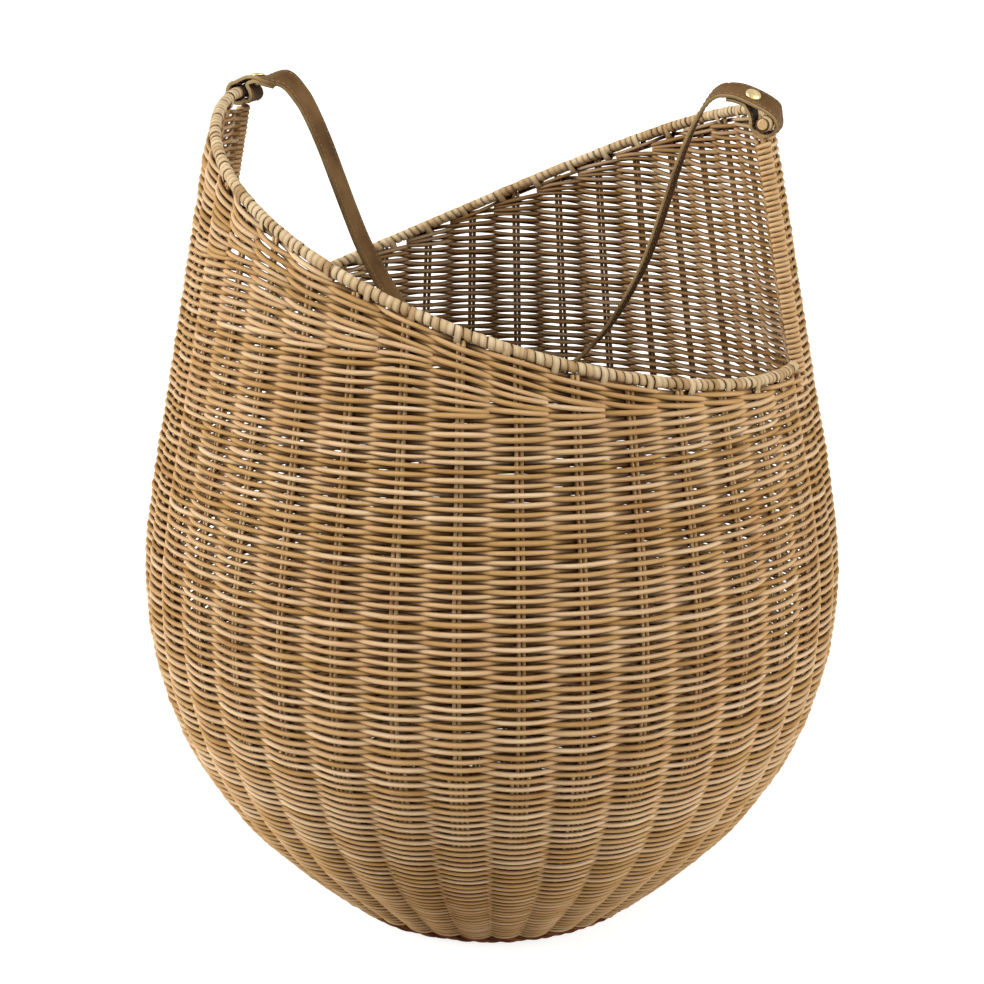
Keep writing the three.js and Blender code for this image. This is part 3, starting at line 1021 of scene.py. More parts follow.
@dataclass
class Weave:
    """Plain weave of round cane over pairs of stakes.

    Its curves are pairs of a height in millimetres and a value there: row_heights and stand_offs in
    millimetres, the others as shares. Tight_heights says how much thicker the rows are in the back.
    """

    wall: Wall
    halves: Tuple[Half, Half]
    row_heights: Curve = (
        (0, 2.3), (60, 2.32), (100, 2.22), (125, 2.18), (150, 2.42), (285, 2.36), (325, 2.13), (480, 2.13),
    )
    thickness_shares: Curve = (
        (0, 0.88), (40, 0.93), (75, 1.05), (100, 1.15), (147, 1.22), (480, 1.2),
    )
    tone_spreads: Curve = ((0, 0.45), (60, 0.6), (120, 1.0), (480, 1.0))
    stand_offs: Curve = ((0, 0.9), (90, 0.9), (150, 1.2), (480, 1.2))
    tight_heights: Curve = (
        (0, 0.9), (70, 0.9), (105, 0.7), (150, 0.12), (190, 0.0), (480, 0.0),
    )
    tight_turn: float = 1.88
    crossing_share: float = 0.4
    crossing_squeeze: float = 0.1
    mean_tone: float = 0.45
    tone_reach: float = 0.35
    thickness_range: Tuple[float, float] = (0.9, 1.08)
    swing_power: float = 0.85
    swing_change: float = 0.06
    swing_span: float = 30 * MM
    drift: float = 0.34 * MM
    drift_span: float = 22 * MM
    girth_change: float = 0.09
    girth_span: float = 36 * MM
    noise_radius: float = 160 * MM
    edge_rise: float = 0.55
    steps: int = 8
    split_height: float = 150 * MM
    join_height: float = 312 * MM
    foot_height: float = 8.5 * MM
    short_row_seed: int = 5000
    piece_limit: int = 180000

    def pitch_at(self, along: float) -> float:
        """Distance between rows at a length up the wall.

        Args:
            along: The length.

        Returns:
            The distance.
        """
        heights = [height * MM for height, _ in self.row_heights]
        pitches = [pitch * MM for _, pitch in self.row_heights]
        return float(np.interp(self.wall.height_at(np.array(along)), heights, pitches))

    def levels(self) -> List[float]:
        """Lengths up the wall of the rows that are whole rings.

        Returns:
            One length for each row.
        """
        rows = [float(self.wall.along_at(np.array(self.foot_height)))]
        top = float(self.wall.along_at(np.array(self.join_height)))
        while rows[-1] < top:
            rows.append(rows[-1] + self.pitch_at(rows[-1]))
        return rows

    def strand(
        self,
        mesh: StrandMesh,
        turn: np.ndarray,
        along: np.ndarray,
        number: int,
        seed: int,
        closed: bool,
        from_edge: bool = False,
        fullness: float = 1.0,
    ) -> None:
        """Adds one woven strand.

        Args:
            mesh: Where it goes.
            turn: Turns of its points.
            along: Lengths up the wall of its points.
            number: Its row's number, whose parity says which stakes it passes outside.
            seed: Which noise it has.
            closed: Whether it is a whole ring.
            from_edge: Whether it starts at a woven edge.
            fullness: Its thickness against that of the rings.
        """
        wall = self.wall
        rng = np.random.default_rng(seed)
        stakes = (turn - wall.first_stake) / wall.stake_pitch
        wave = np.cos(HALF_TURN * (stakes + number))
        pitch = self.pitch_at(float(np.mean(along)))
        level = wall.height_at(np.mean(along)) / MM
        share, stand_off, tight, spread = (
            float(np.interp(level, *zip(*rows)))
            for rows in (self.thickness_shares, self.stand_offs, self.tight_heights, self.tone_spreads))
        half = pitch * share / 2 * fullness * rng.uniform(*self.thickness_range)
        reach = stand_off * MM + half
        swing = np.sign(wave) * np.abs(wave) ** self.swing_power
        if from_edge:
            rise = np.clip((turn - turn[0]) / (self.edge_rise * wall.stake_pitch), 0, 1)
            swing = swing * rise * rise * (3 - 2 * rise)
        unit = turn * self.noise_radius
        depth = reach * swing * (1 + self.swing_change * self._ring(unit, seed, self.swing_span, closed))
        drift = self.drift * self._ring(unit, seed + 1, self.drift_span, closed) * np.abs(swing)
        centres, outward = wall.place(turn, along + drift, depth)
        girth = 1 + self.girth_change * self._ring(unit, seed + 2, self.girth_span, closed)
        back_share = 0.5 + 0.5 * np.cos(turn - self.tight_turn)
        packing = self.crossing_share + (1 - self.crossing_share) * swing ** 2
        squeeze = 1 - self.crossing_squeeze * (1 - np.abs(swing)) + tight * back_share * packing
        tone = self.mean_tone + spread * float(rng.uniform(-self.tone_reach, self.tone_reach))
        # Default painted shade by side, and more where the strand lies in behind a stake.
        mesh.add(centres, outward, half * girth, half * girth * squeeze, tone, closed, recess=-swing)

    def _ring(self, places: np.ndarray, seed: int, span: float, closed: bool) -> np.ndarray:
        """Smooth noise that meets itself where a ring closes.

        Args:
            places: Lengths round the wall.
            seed: Which noise it is.
            span: Distance over which it changes.
            closed: Whether the strand is a ring.

        Returns:
            One value for each place.
        """
        noise = even_noise(places, seed, span)
        if not closed:
            return noise
        fade = np.clip((places - places[0]) / (2 * span), 0, 1)
        tail = np.clip((places[-1] - places) / (2 * span), 0, 1)
        return noise * fade * tail

    def build(self) -> List[bpy.types.Object]:
        """The weave's pieces, the fine band first.

        Returns:
            The pieces.
        """
        split = float(self.wall.along_at(np.array(self.split_height)))
        steps = self.wall.stake_count * self.steps
        ring = self.wall.first_stake + FULL_TURN * np.arange(steps) / steps
        pieces: List[bpy.types.Object] = []
        mesh = StrandMesh("fine_weave_1")
        band = "fine_weave"
        part = 1
        levels = self.levels()
        for number, level in enumerate(levels):
            name = "fine_weave" if level < split else "open_weave"
            if name != band or mesh.triangles() > self.piece_limit:
                pieces.append(mesh.build(Finish.WEAVE))
                part = part + 1 if name == band else 1
                band = name
                mesh = StrandMesh(f"{band}_{part}")
            self.strand(mesh, ring, np.full(steps, level), number, 10 * number, True)
        pieces.append(mesh.build(Finish.WEAVE))
        for half in self.halves:
            mesh = StrandMesh(f"sweep_weave_{half.name}")
            base = levels[-1] + self.pitch_at(levels[-1]) / 2
            for row in RowPlan(self.wall, half, base, len(levels), self.steps).rows():
                seed = self.short_row_seed + 10 * row.number + half.half_turns
                self.strand(
                    mesh, half.start + row.turn, row.along, row.number, seed, False, row.from_edge,
                    half.fullness)
            pieces.append(mesh.build(Finish.WEAVE))
        return pieces


@dataclass
class Stakes:
    """Pairs of thin rods that the weave goes round, with a shorter rod on each side low down."""

    wall: Wall
    halves: Tuple[Half, Half]
    rod_radius: float = 1.12 * MM
    spacing: float = 2.5 * MM
    foot_height: float = 9 * MM
    rim_gap: float = 3.5 * MM
    fold_gap: float = 7.6 * MM
    rod_steps: int = 60
    sway: float = 0.12 * MM
    sway_span: float = 40 * MM
    side_spacing: float = 7.4 * MM
    side_top: float = 147 * MM
    side_steps: int = 24
    side_ends: Tuple[float, float] = (-3, 3)  # how far their ends lie from side_top, in millimetres
    opening: float = 0.8 * MM
    opening_length: float = 9 * MM
    lift: float = 1.2 * MM
    lift_length: float = 6 * MM
    # Painted shade on the rods' outer, upper and lower, and inner sides.
    painted_side_shade: Tuple[float, float, float] = (0.0, 0.25, 0.5)
    rod_seed: int = 700
    sway_seed: int = 9000

    def build(self) -> List[bpy.types.Object]:
        """One piece for each pair.

        Returns:
            The pieces.
        """
        pieces = []
        for number in range(self.wall.stake_count):
            mesh = StrandMesh(f"stake_pair_{number + 1:02d}")
            for side in (-1, 1):
                rng = np.random.default_rng(self.rod_seed + 2 * number + side)
                self._rod(mesh, number, side, rng)
                self._side_rod(mesh, number, side, rng)
            piece = mesh.build(Finish.ROD)
            dress(piece, f"stake_{number + 1:02d}")
            pieces.append(piece)
        return pieces

    def _turn(self, number: int) -> float:
        """Turn of a pair's middle."""
        return self.wall.first_stake + number * self.wall.stake_pitch

    @property
    def _low(self) -> float:
        """Length up the wall of the rods' lower ends."""
        return float(self.wall.along_at(np.array(self.foot_height)))

    def _rod(self, mesh: StrandMesh, number: int, side: int, rng: np.random.Generator) -> None:
        """Adds a rod of a pair, from the foot to the rim.

        Args:
            mesh: Where it goes.
            number: Number of the pair.
            side: -1 or 1, its side of the pair's middle.
            rng: Where its tone comes from.
        """
        half = self.halves[number * 2 // self.wall.stake_count]
        past = self._turn(number) - half.start
        gap = self.fold_gap if past < self.wall.level_turn else self.rim_gap
        top = float(half.rim_along(np.array(past))) - gap
        along = np.linspace(self._low, top, self.rod_steps)
        radius = np.interp(along, self.wall.length, self.wall.radius)
        aside = side * self.spacing / 2 / radius
        noise = even_noise(along + number, self.sway_seed + 2 * number + side, self.sway_span)
        turn = self._turn(number) + aside + self.sway * noise / radius
        centres, outward = self.wall.place(turn, along, np.zeros(self.rod_steps))
        size = np.full(self.rod_steps, self.rod_radius)
        mesh.add(centres, outward, size, size, float(rng.uniform(0, 0.8)), painted_side_shade=self.painted_side_shade)

    def _side_rod(self, mesh: StrandMesh, number: int, side: int, rng: np.random.Generator) -> None:
        """Adds a shorter rod beside a pair, whose cut end stands out a little.

        Args:
            mesh: Where it goes.
            number: Number of the pair.
            side: -1 or 1, its side of the pair.
            rng: Where its end and its tone come from.
        """
        end = float(self.wall.along_at(np.array(self.side_top))) + rng.uniform(*self.side_ends) * MM
        along = np.linspace(self._low, end, self.side_steps)
        radius = np.interp(along, self.wall.length, self.wall.radius)
        opening = self.opening * np.clip((along - end) / self.opening_length + 1, 0, 1)
        lift = self.lift * np.clip((along - end) / self.lift_length + 1, 0, 1)
        turn = self._turn(number) + side * (self.side_spacing / 2 + opening) / radius
        centres, outward = self.wall.place(turn, along, lift)
        size = np.full(self.side_steps, self.rod_radius)
        mesh.add(centres, outward, size, size, float(rng.uniform(0, 0.6)), painted_side_shade=self.painted_side_shade)


@dataclass
class WovenEdge:
    """Cane wound round the stake of a tall woven edge."""

    wall: Wall
    half: Half
    pitch: float = 2.75 * MM
    cane_radius: float = 1.38 * MM
    across: float = 3.0 * MM
    deep: float = 2.75 * MM
    low_gap: float = 6 * MM
    high_gap: float = 8.9 * MM
    wobble: float = 0.05
    pitch_change: float = 0.25 * MM
    size_change: float = 0.06
    tone: float = 0.45
    steps: int = 14

    def build(self) -> bpy.types.Object:
        """The winding as one strand.

        Returns:
            The piece.
        """
        low = float(self.wall.along_at(np.array(self.wall.rim_low))) - self.low_gap
        high = float(self.wall.along_at(np.array(self.half.top))) - self.high_gap
        rounds = (high - low) / self.pitch
        count = int(rounds * self.steps)
        angle = FULL_TURN * rounds * np.arange(count) / count
        wobble = 1 + self.wobble * even_noise(angle, 31 + self.half.half_turns, 4.0)
        along = low + (high - low) * np.arange(count) / count
        along = along + self.pitch_change * even_noise(angle, 77, 9.0)
        depth = self.deep * np.cos(angle) * wobble
        radius = np.interp(along, self.wall.length, self.wall.radius)
        stake = self.half.start + self.wall.first_stake - self.wall.edge_turn
        turn = stake + self.across * np.sin(angle) * wobble / radius
        centres, _ = self.wall.place(turn, along, depth)
        middle, _ = self.wall.place(np.full(count, stake), along, np.zeros(count))
        size = np.full(count, self.cane_radius) * (1 + self.size_change * even_noise(angle, 5, 7.0))
        mesh = StrandMesh(f"woven_edge_{self.half.name}", sides=8)
        # Painted shade on the winding's upper and lower sides and its inner side.
        mesh.add(centres, centres - middle, size, size, self.tone, painted_side_shade=(0.0, 0.6, 1.0))
        return mesh.build(Finish.WEAVE)


@dataclass
class RimRoll:
    """The roll along one half of the rim: a core, and flat cane wound round it."""

    wall: Wall
    half: Half
    pitch: float = 4.1 * MM
    cane_width: float = 4.05 * MM
    cane_thickness: float = 0.85 * MM
    core_radius: float = 2.25 * MM
    end_growth: float = 0.45
    end_length: float = 13 * MM
    steps: int = 16
    line_steps: int = 600
    core_steps: int = 120
    lash_every: int = 6
    lash_drop: float = 3.4 * MM
    lash_from: float = 26 * MM
    lash_to_end: float = 12 * MM
    pitch_change: float = 0.8 * MM
    rise_change: float = 0.2 * MM
    width_change: float = 0.14
    mean_tone: float = 0.4
    tone_change: float = 0.45
    overhang: float = 2.5 * MM
    low_gap: float = 0.3 * MM
    seed: int = 300

    def line(self, count: int) -> Tuple[np.ndarray, np.ndarray, np.ndarray]:
        """Points of the roll's centre line, with upward and outward directions.

        Args:
            count: How many.

        Returns:
            The points, the upward directions and the outward directions.
        """
        start = -self.overhang / self.wall.radius_at(self.wall.rim_high)
        end = HALF_TURN - self.low_gap / self.wall.radius_at(self.wall.rim_low)
        turn = np.linspace(start, end, count)
        along = self.half.rim_along(turn)
        centres, _ = self.wall.place(self.half.start + turn, along, self.half.flare_at(turn))
        tangent = unit_rows(np.gradient(centres, axis=0))
        outward = unit_rows(np.cross(tangent, UP))
        upward = np.cross(outward, tangent)
        return centres, upward, outward

    def build(self) -> List[bpy.types.Object]:
        """The core and the winding."""
        return [self._core(), self._winding()]

    def core_at(self, place: np.ndarray) -> np.ndarray:
        """The core's radius at lengths from the tall end, where the roll is fuller."""
        return self.core_radius * (1 + self.end_growth * np.exp(-(place / self.end_length) ** 2))

    def _core(self) -> bpy.types.Object:
        """The round core, seen at its two cut ends.

        Returns:
            The piece.
        """
        centres, upward, _ = self.line(self.core_steps)
        size = self.core_at(lengths_along(centres))
        mesh = StrandMesh(f"rim_core_{self.half.name}_cane", sides=14)
        mesh.add(centres, upward, size, size, 0.3, painted_side_shade=(0.0, 0.0, 0.0))
        piece = mesh.build(Finish.ROD)
        dress(piece, f"rim_core_{self.half.name}")
        return piece

    def _winding(self) -> bpy.types.Object:
        """The flat cane, one turn after another, with a lashing round the top strand every few turns.

        Returns:
            The piece.
        """
        centres, upward, outward = self.line(self.line_steps)
        length = lengths_along(centres)
        rounds = math.floor(length[-1] / self.pitch)
        count = rounds * self.steps
        angle = FULL_TURN * np.arange(count + 1) / self.steps
        seed = self.seed + self.half.half_turns
        place = length[-1] * (angle / angle[-1]) + self.pitch_change * even_noise(angle, seed, 7.0)
        margin = self.cane_width / 2
        place = np.clip(place, margin, length[-1] - margin)
        spot, rise, aside = (rows_at(place, length, rows) for rows in (centres, upward, outward))
        round_number = np.floor(angle / FULL_TURN)
        lash = (round_number % self.lash_every == 2) * np.clip(-np.cos(angle), 0, 1) ** 1.5
        lash = lash * (place > self.lash_from) * (place < length[-1] - self.lash_to_end)
        rise_noise = self.rise_change * even_noise(angle, seed + 1, 5.0)
        radius = self.core_at(place) + self.cane_thickness / 2 + rise_noise
        direction = rise * np.cos(angle)[:, None] + aside * np.sin(angle)[:, None]
        points = spot + direction * radius[:, None] - rise * (lash * self.lash_drop)[:, None]
        width = self.cane_width / 2 * (1 + self.width_change * even_noise(angle, seed + 2, 6.0))
        tone = np.clip(self.mean_tone + self.tone_change * even_noise(angle, seed + 3, 8.0), 0, 1)
        mesh = StrandMesh(f"rim_winding_{self.half.name}_cane", sides=8)
        # Painted shade on the cane's edges between turns and on its inner side.
        mesh.add(
            points, direction, np.full(count + 1, self.cane_thickness / 2), width, tone, squareness=0.7,
            painted_side_shade=(0.0, 0.9, 1.0))
        piece = mesh.build(Finish.WOUND)
        dress(piece, f"rim_winding_{self.half.name}")
        return piece


@dataclass
class RolledFoot:
    """The foot: the stakes' ends, rolled one over the next along the lower edge of the wall."""

    wall: Wall
    ring_radius: float = 91.5 * MM
    roll_radius: float = 3.0 * MM
    rod_radius: float = 1.5 * MM
    rods: int = 2
    rod_lag: float = 0.42
    lag_change: float = 0.04
    spread_change: float = 0.12
    reach: float = 2.7
    start_angle: float = 78.0
    end_angle: float = -195.0
    start_out: float = 4.5 * MM
    start_up: float = 6.0 * MM
    start_rate: float = 5
    steps: int = 22
    seed: int = 800

    def build(self) -> bpy.types.Object:
        """All rods of the foot as one piece.

        Returns:
            The piece.
        """
        mesh = StrandMesh("rolled_foot")
        lift = self.roll_radius * (1 + self.spread_change) + self.rod_radius
        share = np.linspace(0, 1, self.steps)
        for number in range(self.wall.stake_count):
            stake = self.wall.first_stake + number * self.wall.stake_pitch
            for rod in range(self.rods):
                rng = np.random.default_rng(self.seed + self.rods * number + rod)
                lag = (rod - 0.5) * self.rod_lag + rng.uniform(-self.lag_change, self.lag_change)
                turn = stake + self.wall.stake_pitch * (share * self.reach + lag)
                angle = np.radians(self.start_angle + (self.end_angle - self.start_angle) * share)
                spread = self.roll_radius * (1 + self.spread_change * rng.uniform(-1, 1))
                start = np.clip(1 - share * self.start_rate, 0, 1)
                radius = self.ring_radius + spread * np.cos(angle) + self.start_out * start
                height = lift + spread * np.sin(angle) + self.start_up * start
                centres = round_axis(radius, turn, height)
                outward = round_axis(np.cos(angle), turn, np.sin(angle))
                size = np.full(self.steps, self.rod_radius)
                # Default painted shade on the rods' upper and lower sides and their inner side.
                mesh.add(centres, outward, size, size, float(rng.uniform(0, 1)))
        piece = mesh.build(Finish.FOOT)
        dress(piece, "foot_border")
        return piece


@dataclass
class WovenBase:
    """The base: rings of cane woven over crossed sticks, and further out over the stakes' inner ends."""

    wall: Wall
    middle_height: float = 15.0 * MM
    dish: float = 2.5 * MM
    radius: float = 98 * MM
    sticks: int = 8
    stick_width: float = 6.5 * MM
    stick_depth: float = 2.6 * MM
    stick_reach: float = 82 * MM
    stick_rise: float = 0.12 * MM
    stick_steps: int = 30
    spread_radius: float = 50 * MM
    spread_lap: float = 4 * MM
    spread_half_depth: float = 1.3 * MM
    spread_flatness: float = 1.3
    spread_steps: int = 12
    row_pitch: float = 2.75 * MM
    cane_radius: float = 1.32 * MM
    cane_range: Tuple[float, float] = (0.95, 1.05)
    first_row: float = 11 * MM
    row_change: float = 0.2 * MM
    arm_steps: int = 6
    swing_power: float = 0.8
    seed: int = 600

    def height_at(self, radius: np.ndarray) -> np.ndarray:
        """Height of the sticks' middle at a distance from the axis."""
        return self.middle_height + self.dish * (1 - np.clip(radius / self.radius, 0, 1) ** 2)

    def build(self) -> List[bpy.types.Object]:
        """The woven rings, and the sticks with the stakes' ends."""
        return [self._rows(), self._sticks()]

    def _rows(self) -> bpy.types.Object:
        """The woven rings.

        Returns:
            The piece.
        """
        mesh = StrandMesh("base_rows", sides=6)
        count = int((self.radius - self.first_row) / self.row_pitch)
        for number in range(count):
            radius = self.first_row + number * self.row_pitch
            arms = 2 * self.sticks if radius < self.spread_radius else self.wall.stake_count
            steps = arms * self.arm_steps
            turn = FULL_TURN * np.arange(steps) / steps
            rng = np.random.default_rng(self.seed + number)
            swing = np.cos(arms / 2 * turn + HALF_TURN * number)
            swing = np.sign(swing) * np.abs(swing) ** self.swing_power
            depth = (self.stick_depth / 2 + self.cane_radius) * swing
            rim = radius + self.row_change * rng.uniform(-1, 1)
            height = self.height_at(np.array(rim)) + depth
            centres = round_axis(rim, turn, height)
            outward = np.tile(UP, (steps, 1))
            size = np.full(steps, self.cane_radius * rng.uniform(*self.cane_range))
            # Painted shade on the rows' upper and lower sides and their inner side.
            mesh.add(centres, outward, size, size, float(rng.uniform(0, 1)), True, painted_side_shade=(0.0, 0.4, 0.3))
        piece = mesh.build(Finish.WEAVE)
        dress(piece, "base_weave")
        return piece

    def _sticks(self) -> bpy.types.Object:
        """The crossed sticks, and a rod from the weave to each stake.

        Returns:
            The piece.
        """
        mesh = StrandMesh("crossed_sticks", sides=8)
        for number in range(self.sticks):
            angle = HALF_TURN * number / self.sticks
            along = np.array([math.cos(angle), math.sin(angle), 0.0])
            reach = np.linspace(-self.stick_reach, self.stick_reach, self.stick_steps)
            centres = reach[:, None] * along + self.height_at(np.abs(reach))[:, None] * UP
            centres = centres + UP * (number - (self.sticks - 1) / 2) * self.stick_rise
            half_depth = np.full(self.stick_steps, self.stick_depth / 2)
            half_width = np.full(self.stick_steps, self.stick_width / 2)
            # Painted shade on the sticks' sides and their inner side.
            mesh.add(
                centres, np.tile(UP, (self.stick_steps, 1)), half_depth, half_width, 0.2 + 0.08 * number,
                squareness=0.6, painted_side_shade=(0.0, 0.2, 0.2))
        for number in range(self.wall.stake_count):
            angle = FULL_TURN * number / self.wall.stake_count
            along = np.array([math.cos(angle), math.sin(angle), 0.0])
            reach = np.linspace(self.spread_radius - self.spread_lap, self.radius, self.spread_steps)
            centres = reach[:, None] * along + self.height_at(reach)[:, None] * UP
            size = np.full(self.spread_steps, self.spread_half_depth)
            # Painted shade on the rods' sides and their inner side.
            mesh.add(
                centres, np.tile(UP, (self.spread_steps, 1)), size, size * self.spread_flatness, 0.3,
                painted_side_shade=(0.0, 0.2, 0.2))
        piece = mesh.build(Finish.ROD)
        dress(piece, "base_sticks")
        return piece


class Side(Enum):
    """The two folds of the strap, by the turn about +Z from the right one."""

    RIGHT = 0
    LEFT = 1

    @property
    def way(self) -> float:
        """1 on the right and -1 on the left."""
        return 1.0 if self is Side.RIGHT else -1.0


@dataclass
class StrapPath:
    """The strap's middle line from the tip of a folded end to the lowest point, laid out for the right."""

    wall: Wall
    half: Half
    side: Side
    width: float = 16 * MM
    thickness: float = 1.9 * MM
    reach: float = 23 * MM
    lowest: float = 291.2 * MM
    hinge_height: float = 474.18 * MM
    turn: float = 10.0  # degrees, how far the slack part's faces turn to the front
    ply_starts: Tuple[float, float] = (0.12, 0.31)  # half turns round the roll, for the right and the left
    leg_start: float = -0.76  # half turns round the roll
    meets: Tuple[float, float] = (0.64, 0.52)  # shares of the upper ply where the lower one comes up to it
    tip: float = 0.97
    lean: float = 8.0  # degrees, how far the slack part hangs to the back
    lean_start: float = 12 * MM
    ply_steps: int = 12
    lower_points: int = 9
    leg_steps: int = 10
    bend_points: int = 19
    slack_steps: int = 6
    fold_lean_start: float = 6 * MM
    settle: float = 70 * MM
    leans: Tuple[Tuple[float, ...], ...] = ((22.0, 23.0, 22.0, 19.0, 17.0), (-4.0, -12.0, -8.0, 10.0, 22.0))
    uppers: Tuple[Curve, ...] = (
        ((0.19, 0.26), (0.02, 0.4), (-0.33, 0.57), (-0.66, 0.69), (-0.85, 0.72), (-0.94, 0.72), (-1, 0.71)),
        ((-0.3, 0.33), (-0.66, 0.36), (-0.85, 0.37), (-0.94, 0.37), (-1, 0.36)),
    )
    legs: Tuple[Curve, ...] = (
        ((-0.31, -0.1), (-0.34, 0.1), (-0.37, 0.3)),
        ((-0.29, -0.19), (-0.37, -0.08), (-0.34, 0.06), (-0.28, 0.17)),
    )
    hang: Curve = (
        (0.985, 0), (0.95, 0.013), (0.905, 0.055), (0.865, 0.11), (0.81, 0.21), (0.76, 0.32), (0.71, 0.43),
        (0.655, 0.54), (0.58, 0.65), (0.485, 0.765), (0.37, 0.863), (0.24, 0.94), (0.11, 0.985), (0, 1),
    )

    def __post_init__(self) -> None:
        """Works out the roll's place and the two plies."""
        top = self.half.top
        self.centre = np.array([self.wall.radius_at(top) + self.half.flare, 0.0, top])
        self.fold_radius = self.wall.roll_radius + self.wall.clearance + self.thickness / 2
        upper = self.uppers[self.side.value]
        ply = [np.array([x, 0, z]) * self.reach for x, z in upper]
        self.upper_ply = catmull_rom([self._round(self.ply_starts[self.side.value]), *ply], self.ply_steps)
        self.crest = top + upper[-1][1] * self.reach

    def _round(self, share: float) -> np.ndarray:
        """A place round the roll, a share of a half turn up from the outside."""
        angle = HALF_TURN * share
        return self.fold_radius * np.array([math.cos(angle), 0.0, math.sin(angle)])

    def on_upper(self, share: float) -> Tuple[np.ndarray, np.ndarray]:
        """A place on the upper ply.

        Args:
            share: How far along the ply it is.

        Returns:
            The point from the roll's centre, and the direction that the ply's upper face looks in.
        """
        length = lengths_along(self.upper_ply)
        length /= length[-1]
        point, along = (
            rows_at(share, length, rows) for rows in (self.upper_ply, np.gradient(self.upper_ply, axis=0)))
        along /= np.linalg.norm(along)
        lean = self.lean_at(point[0])
        return point, np.array([along[2], along[0] * math.sin(lean), -along[0] * math.cos(lean)])

    def lean_at(self, x: float) -> float:
        """How far the folded part leans to the front, in radians, at a distance from the roll."""
        leans = self.leans[self.side.value]
        return math.radians(float(np.interp(-x / self.reach, np.linspace(0, 1, len(leans)), leans)))

    def _lower(self, share: float) -> np.ndarray:
        """A point of the lower ply."""
        point, above = self.on_upper(share)
        return point - above * (self.thickness + self.wall.clearance)

    def points(self) -> np.ndarray:
        """The whole line, in the row frame, a little past the lowest point.

        Returns:
            One row for each point.
        """
        meet = self.meets[self.side.value]
        lower = [self._lower(share) for share in np.linspace(self.tip, meet, self.lower_points)]
        turns = self.legs[self.side.value][::-1]
        leg = [self._lower(meet)] + [np.array([x, 0, z]) * self.reach for x, z in turns]
        leg = catmull_rom(leg + [self._round(self.leg_start)], self.leg_steps)
        shares = np.linspace(self.leg_start, self.ply_starts[self.side.value], self.bend_points)
        bend = [self._round(share) for share in shares]
        fold = np.vstack([lower[:-1], leg[:-1], bend[:-1], self.upper_ply]) + self.centre
        start = self.centre[0] - self.reach
        fall = self.crest - self.lowest
        line = [fold[-2], fold[-1]] + [
            np.array([x * start, 0.0, self.crest - depth * fall]) for x, depth in self.hang]
        mirrored = line[-2] * np.array([-1.0, 1.0, 1.0])
        slack = catmull_rom(line + [mirrored], self.slack_steps)[self.slack_steps:]
        under = self.hinge_height - slack[:, 2]
        lean = math.radians(self.lean) * np.clip((self.crest - slack[:, 2]) / self.lean_start, 0, 1)
        slack[:, 1] = under * np.sin(lean)
        slack[:, 2] = self.hinge_height - under * np.cos(lean)
        return np.vstack([fold[:-1], slack])

    def across(self, points: np.ndarray) -> np.ndarray:
        """The direction of the strap's width at each point. The slack part turns a little to the front.

        Args:
            points: Points of the strap's line.

        Returns:
            One direction for each point.
        """
        start = self.centre[0] - self.reach
        share = np.clip(1 - np.abs(points[:, 0]) / start, 0, 1)
        turn = math.radians(self.turn) * np.sin(HALF_TURN / 2 * share)
        fold = np.array([self.lean_at(x) for x in np.abs(points[:, 0]) - self.centre[0]])
        fold = fold * np.clip((points[:, 2] - self.centre[2]) / self.fold_lean_start, 0, 1)
        settled = np.clip((self.crest - points[:, 2]) / self.settle, 0, 1)
        hang = math.radians(self.lean) * settled + self.lean_at(-self.reach) * (1 - settled)
        lean = np.where(np.abs(points[:, 0]) > start, fold, hang)
        return np.stack([np.sin(turn), np.cos(turn) * np.cos(lean), np.cos(turn) * np.sin(lean)], -1)


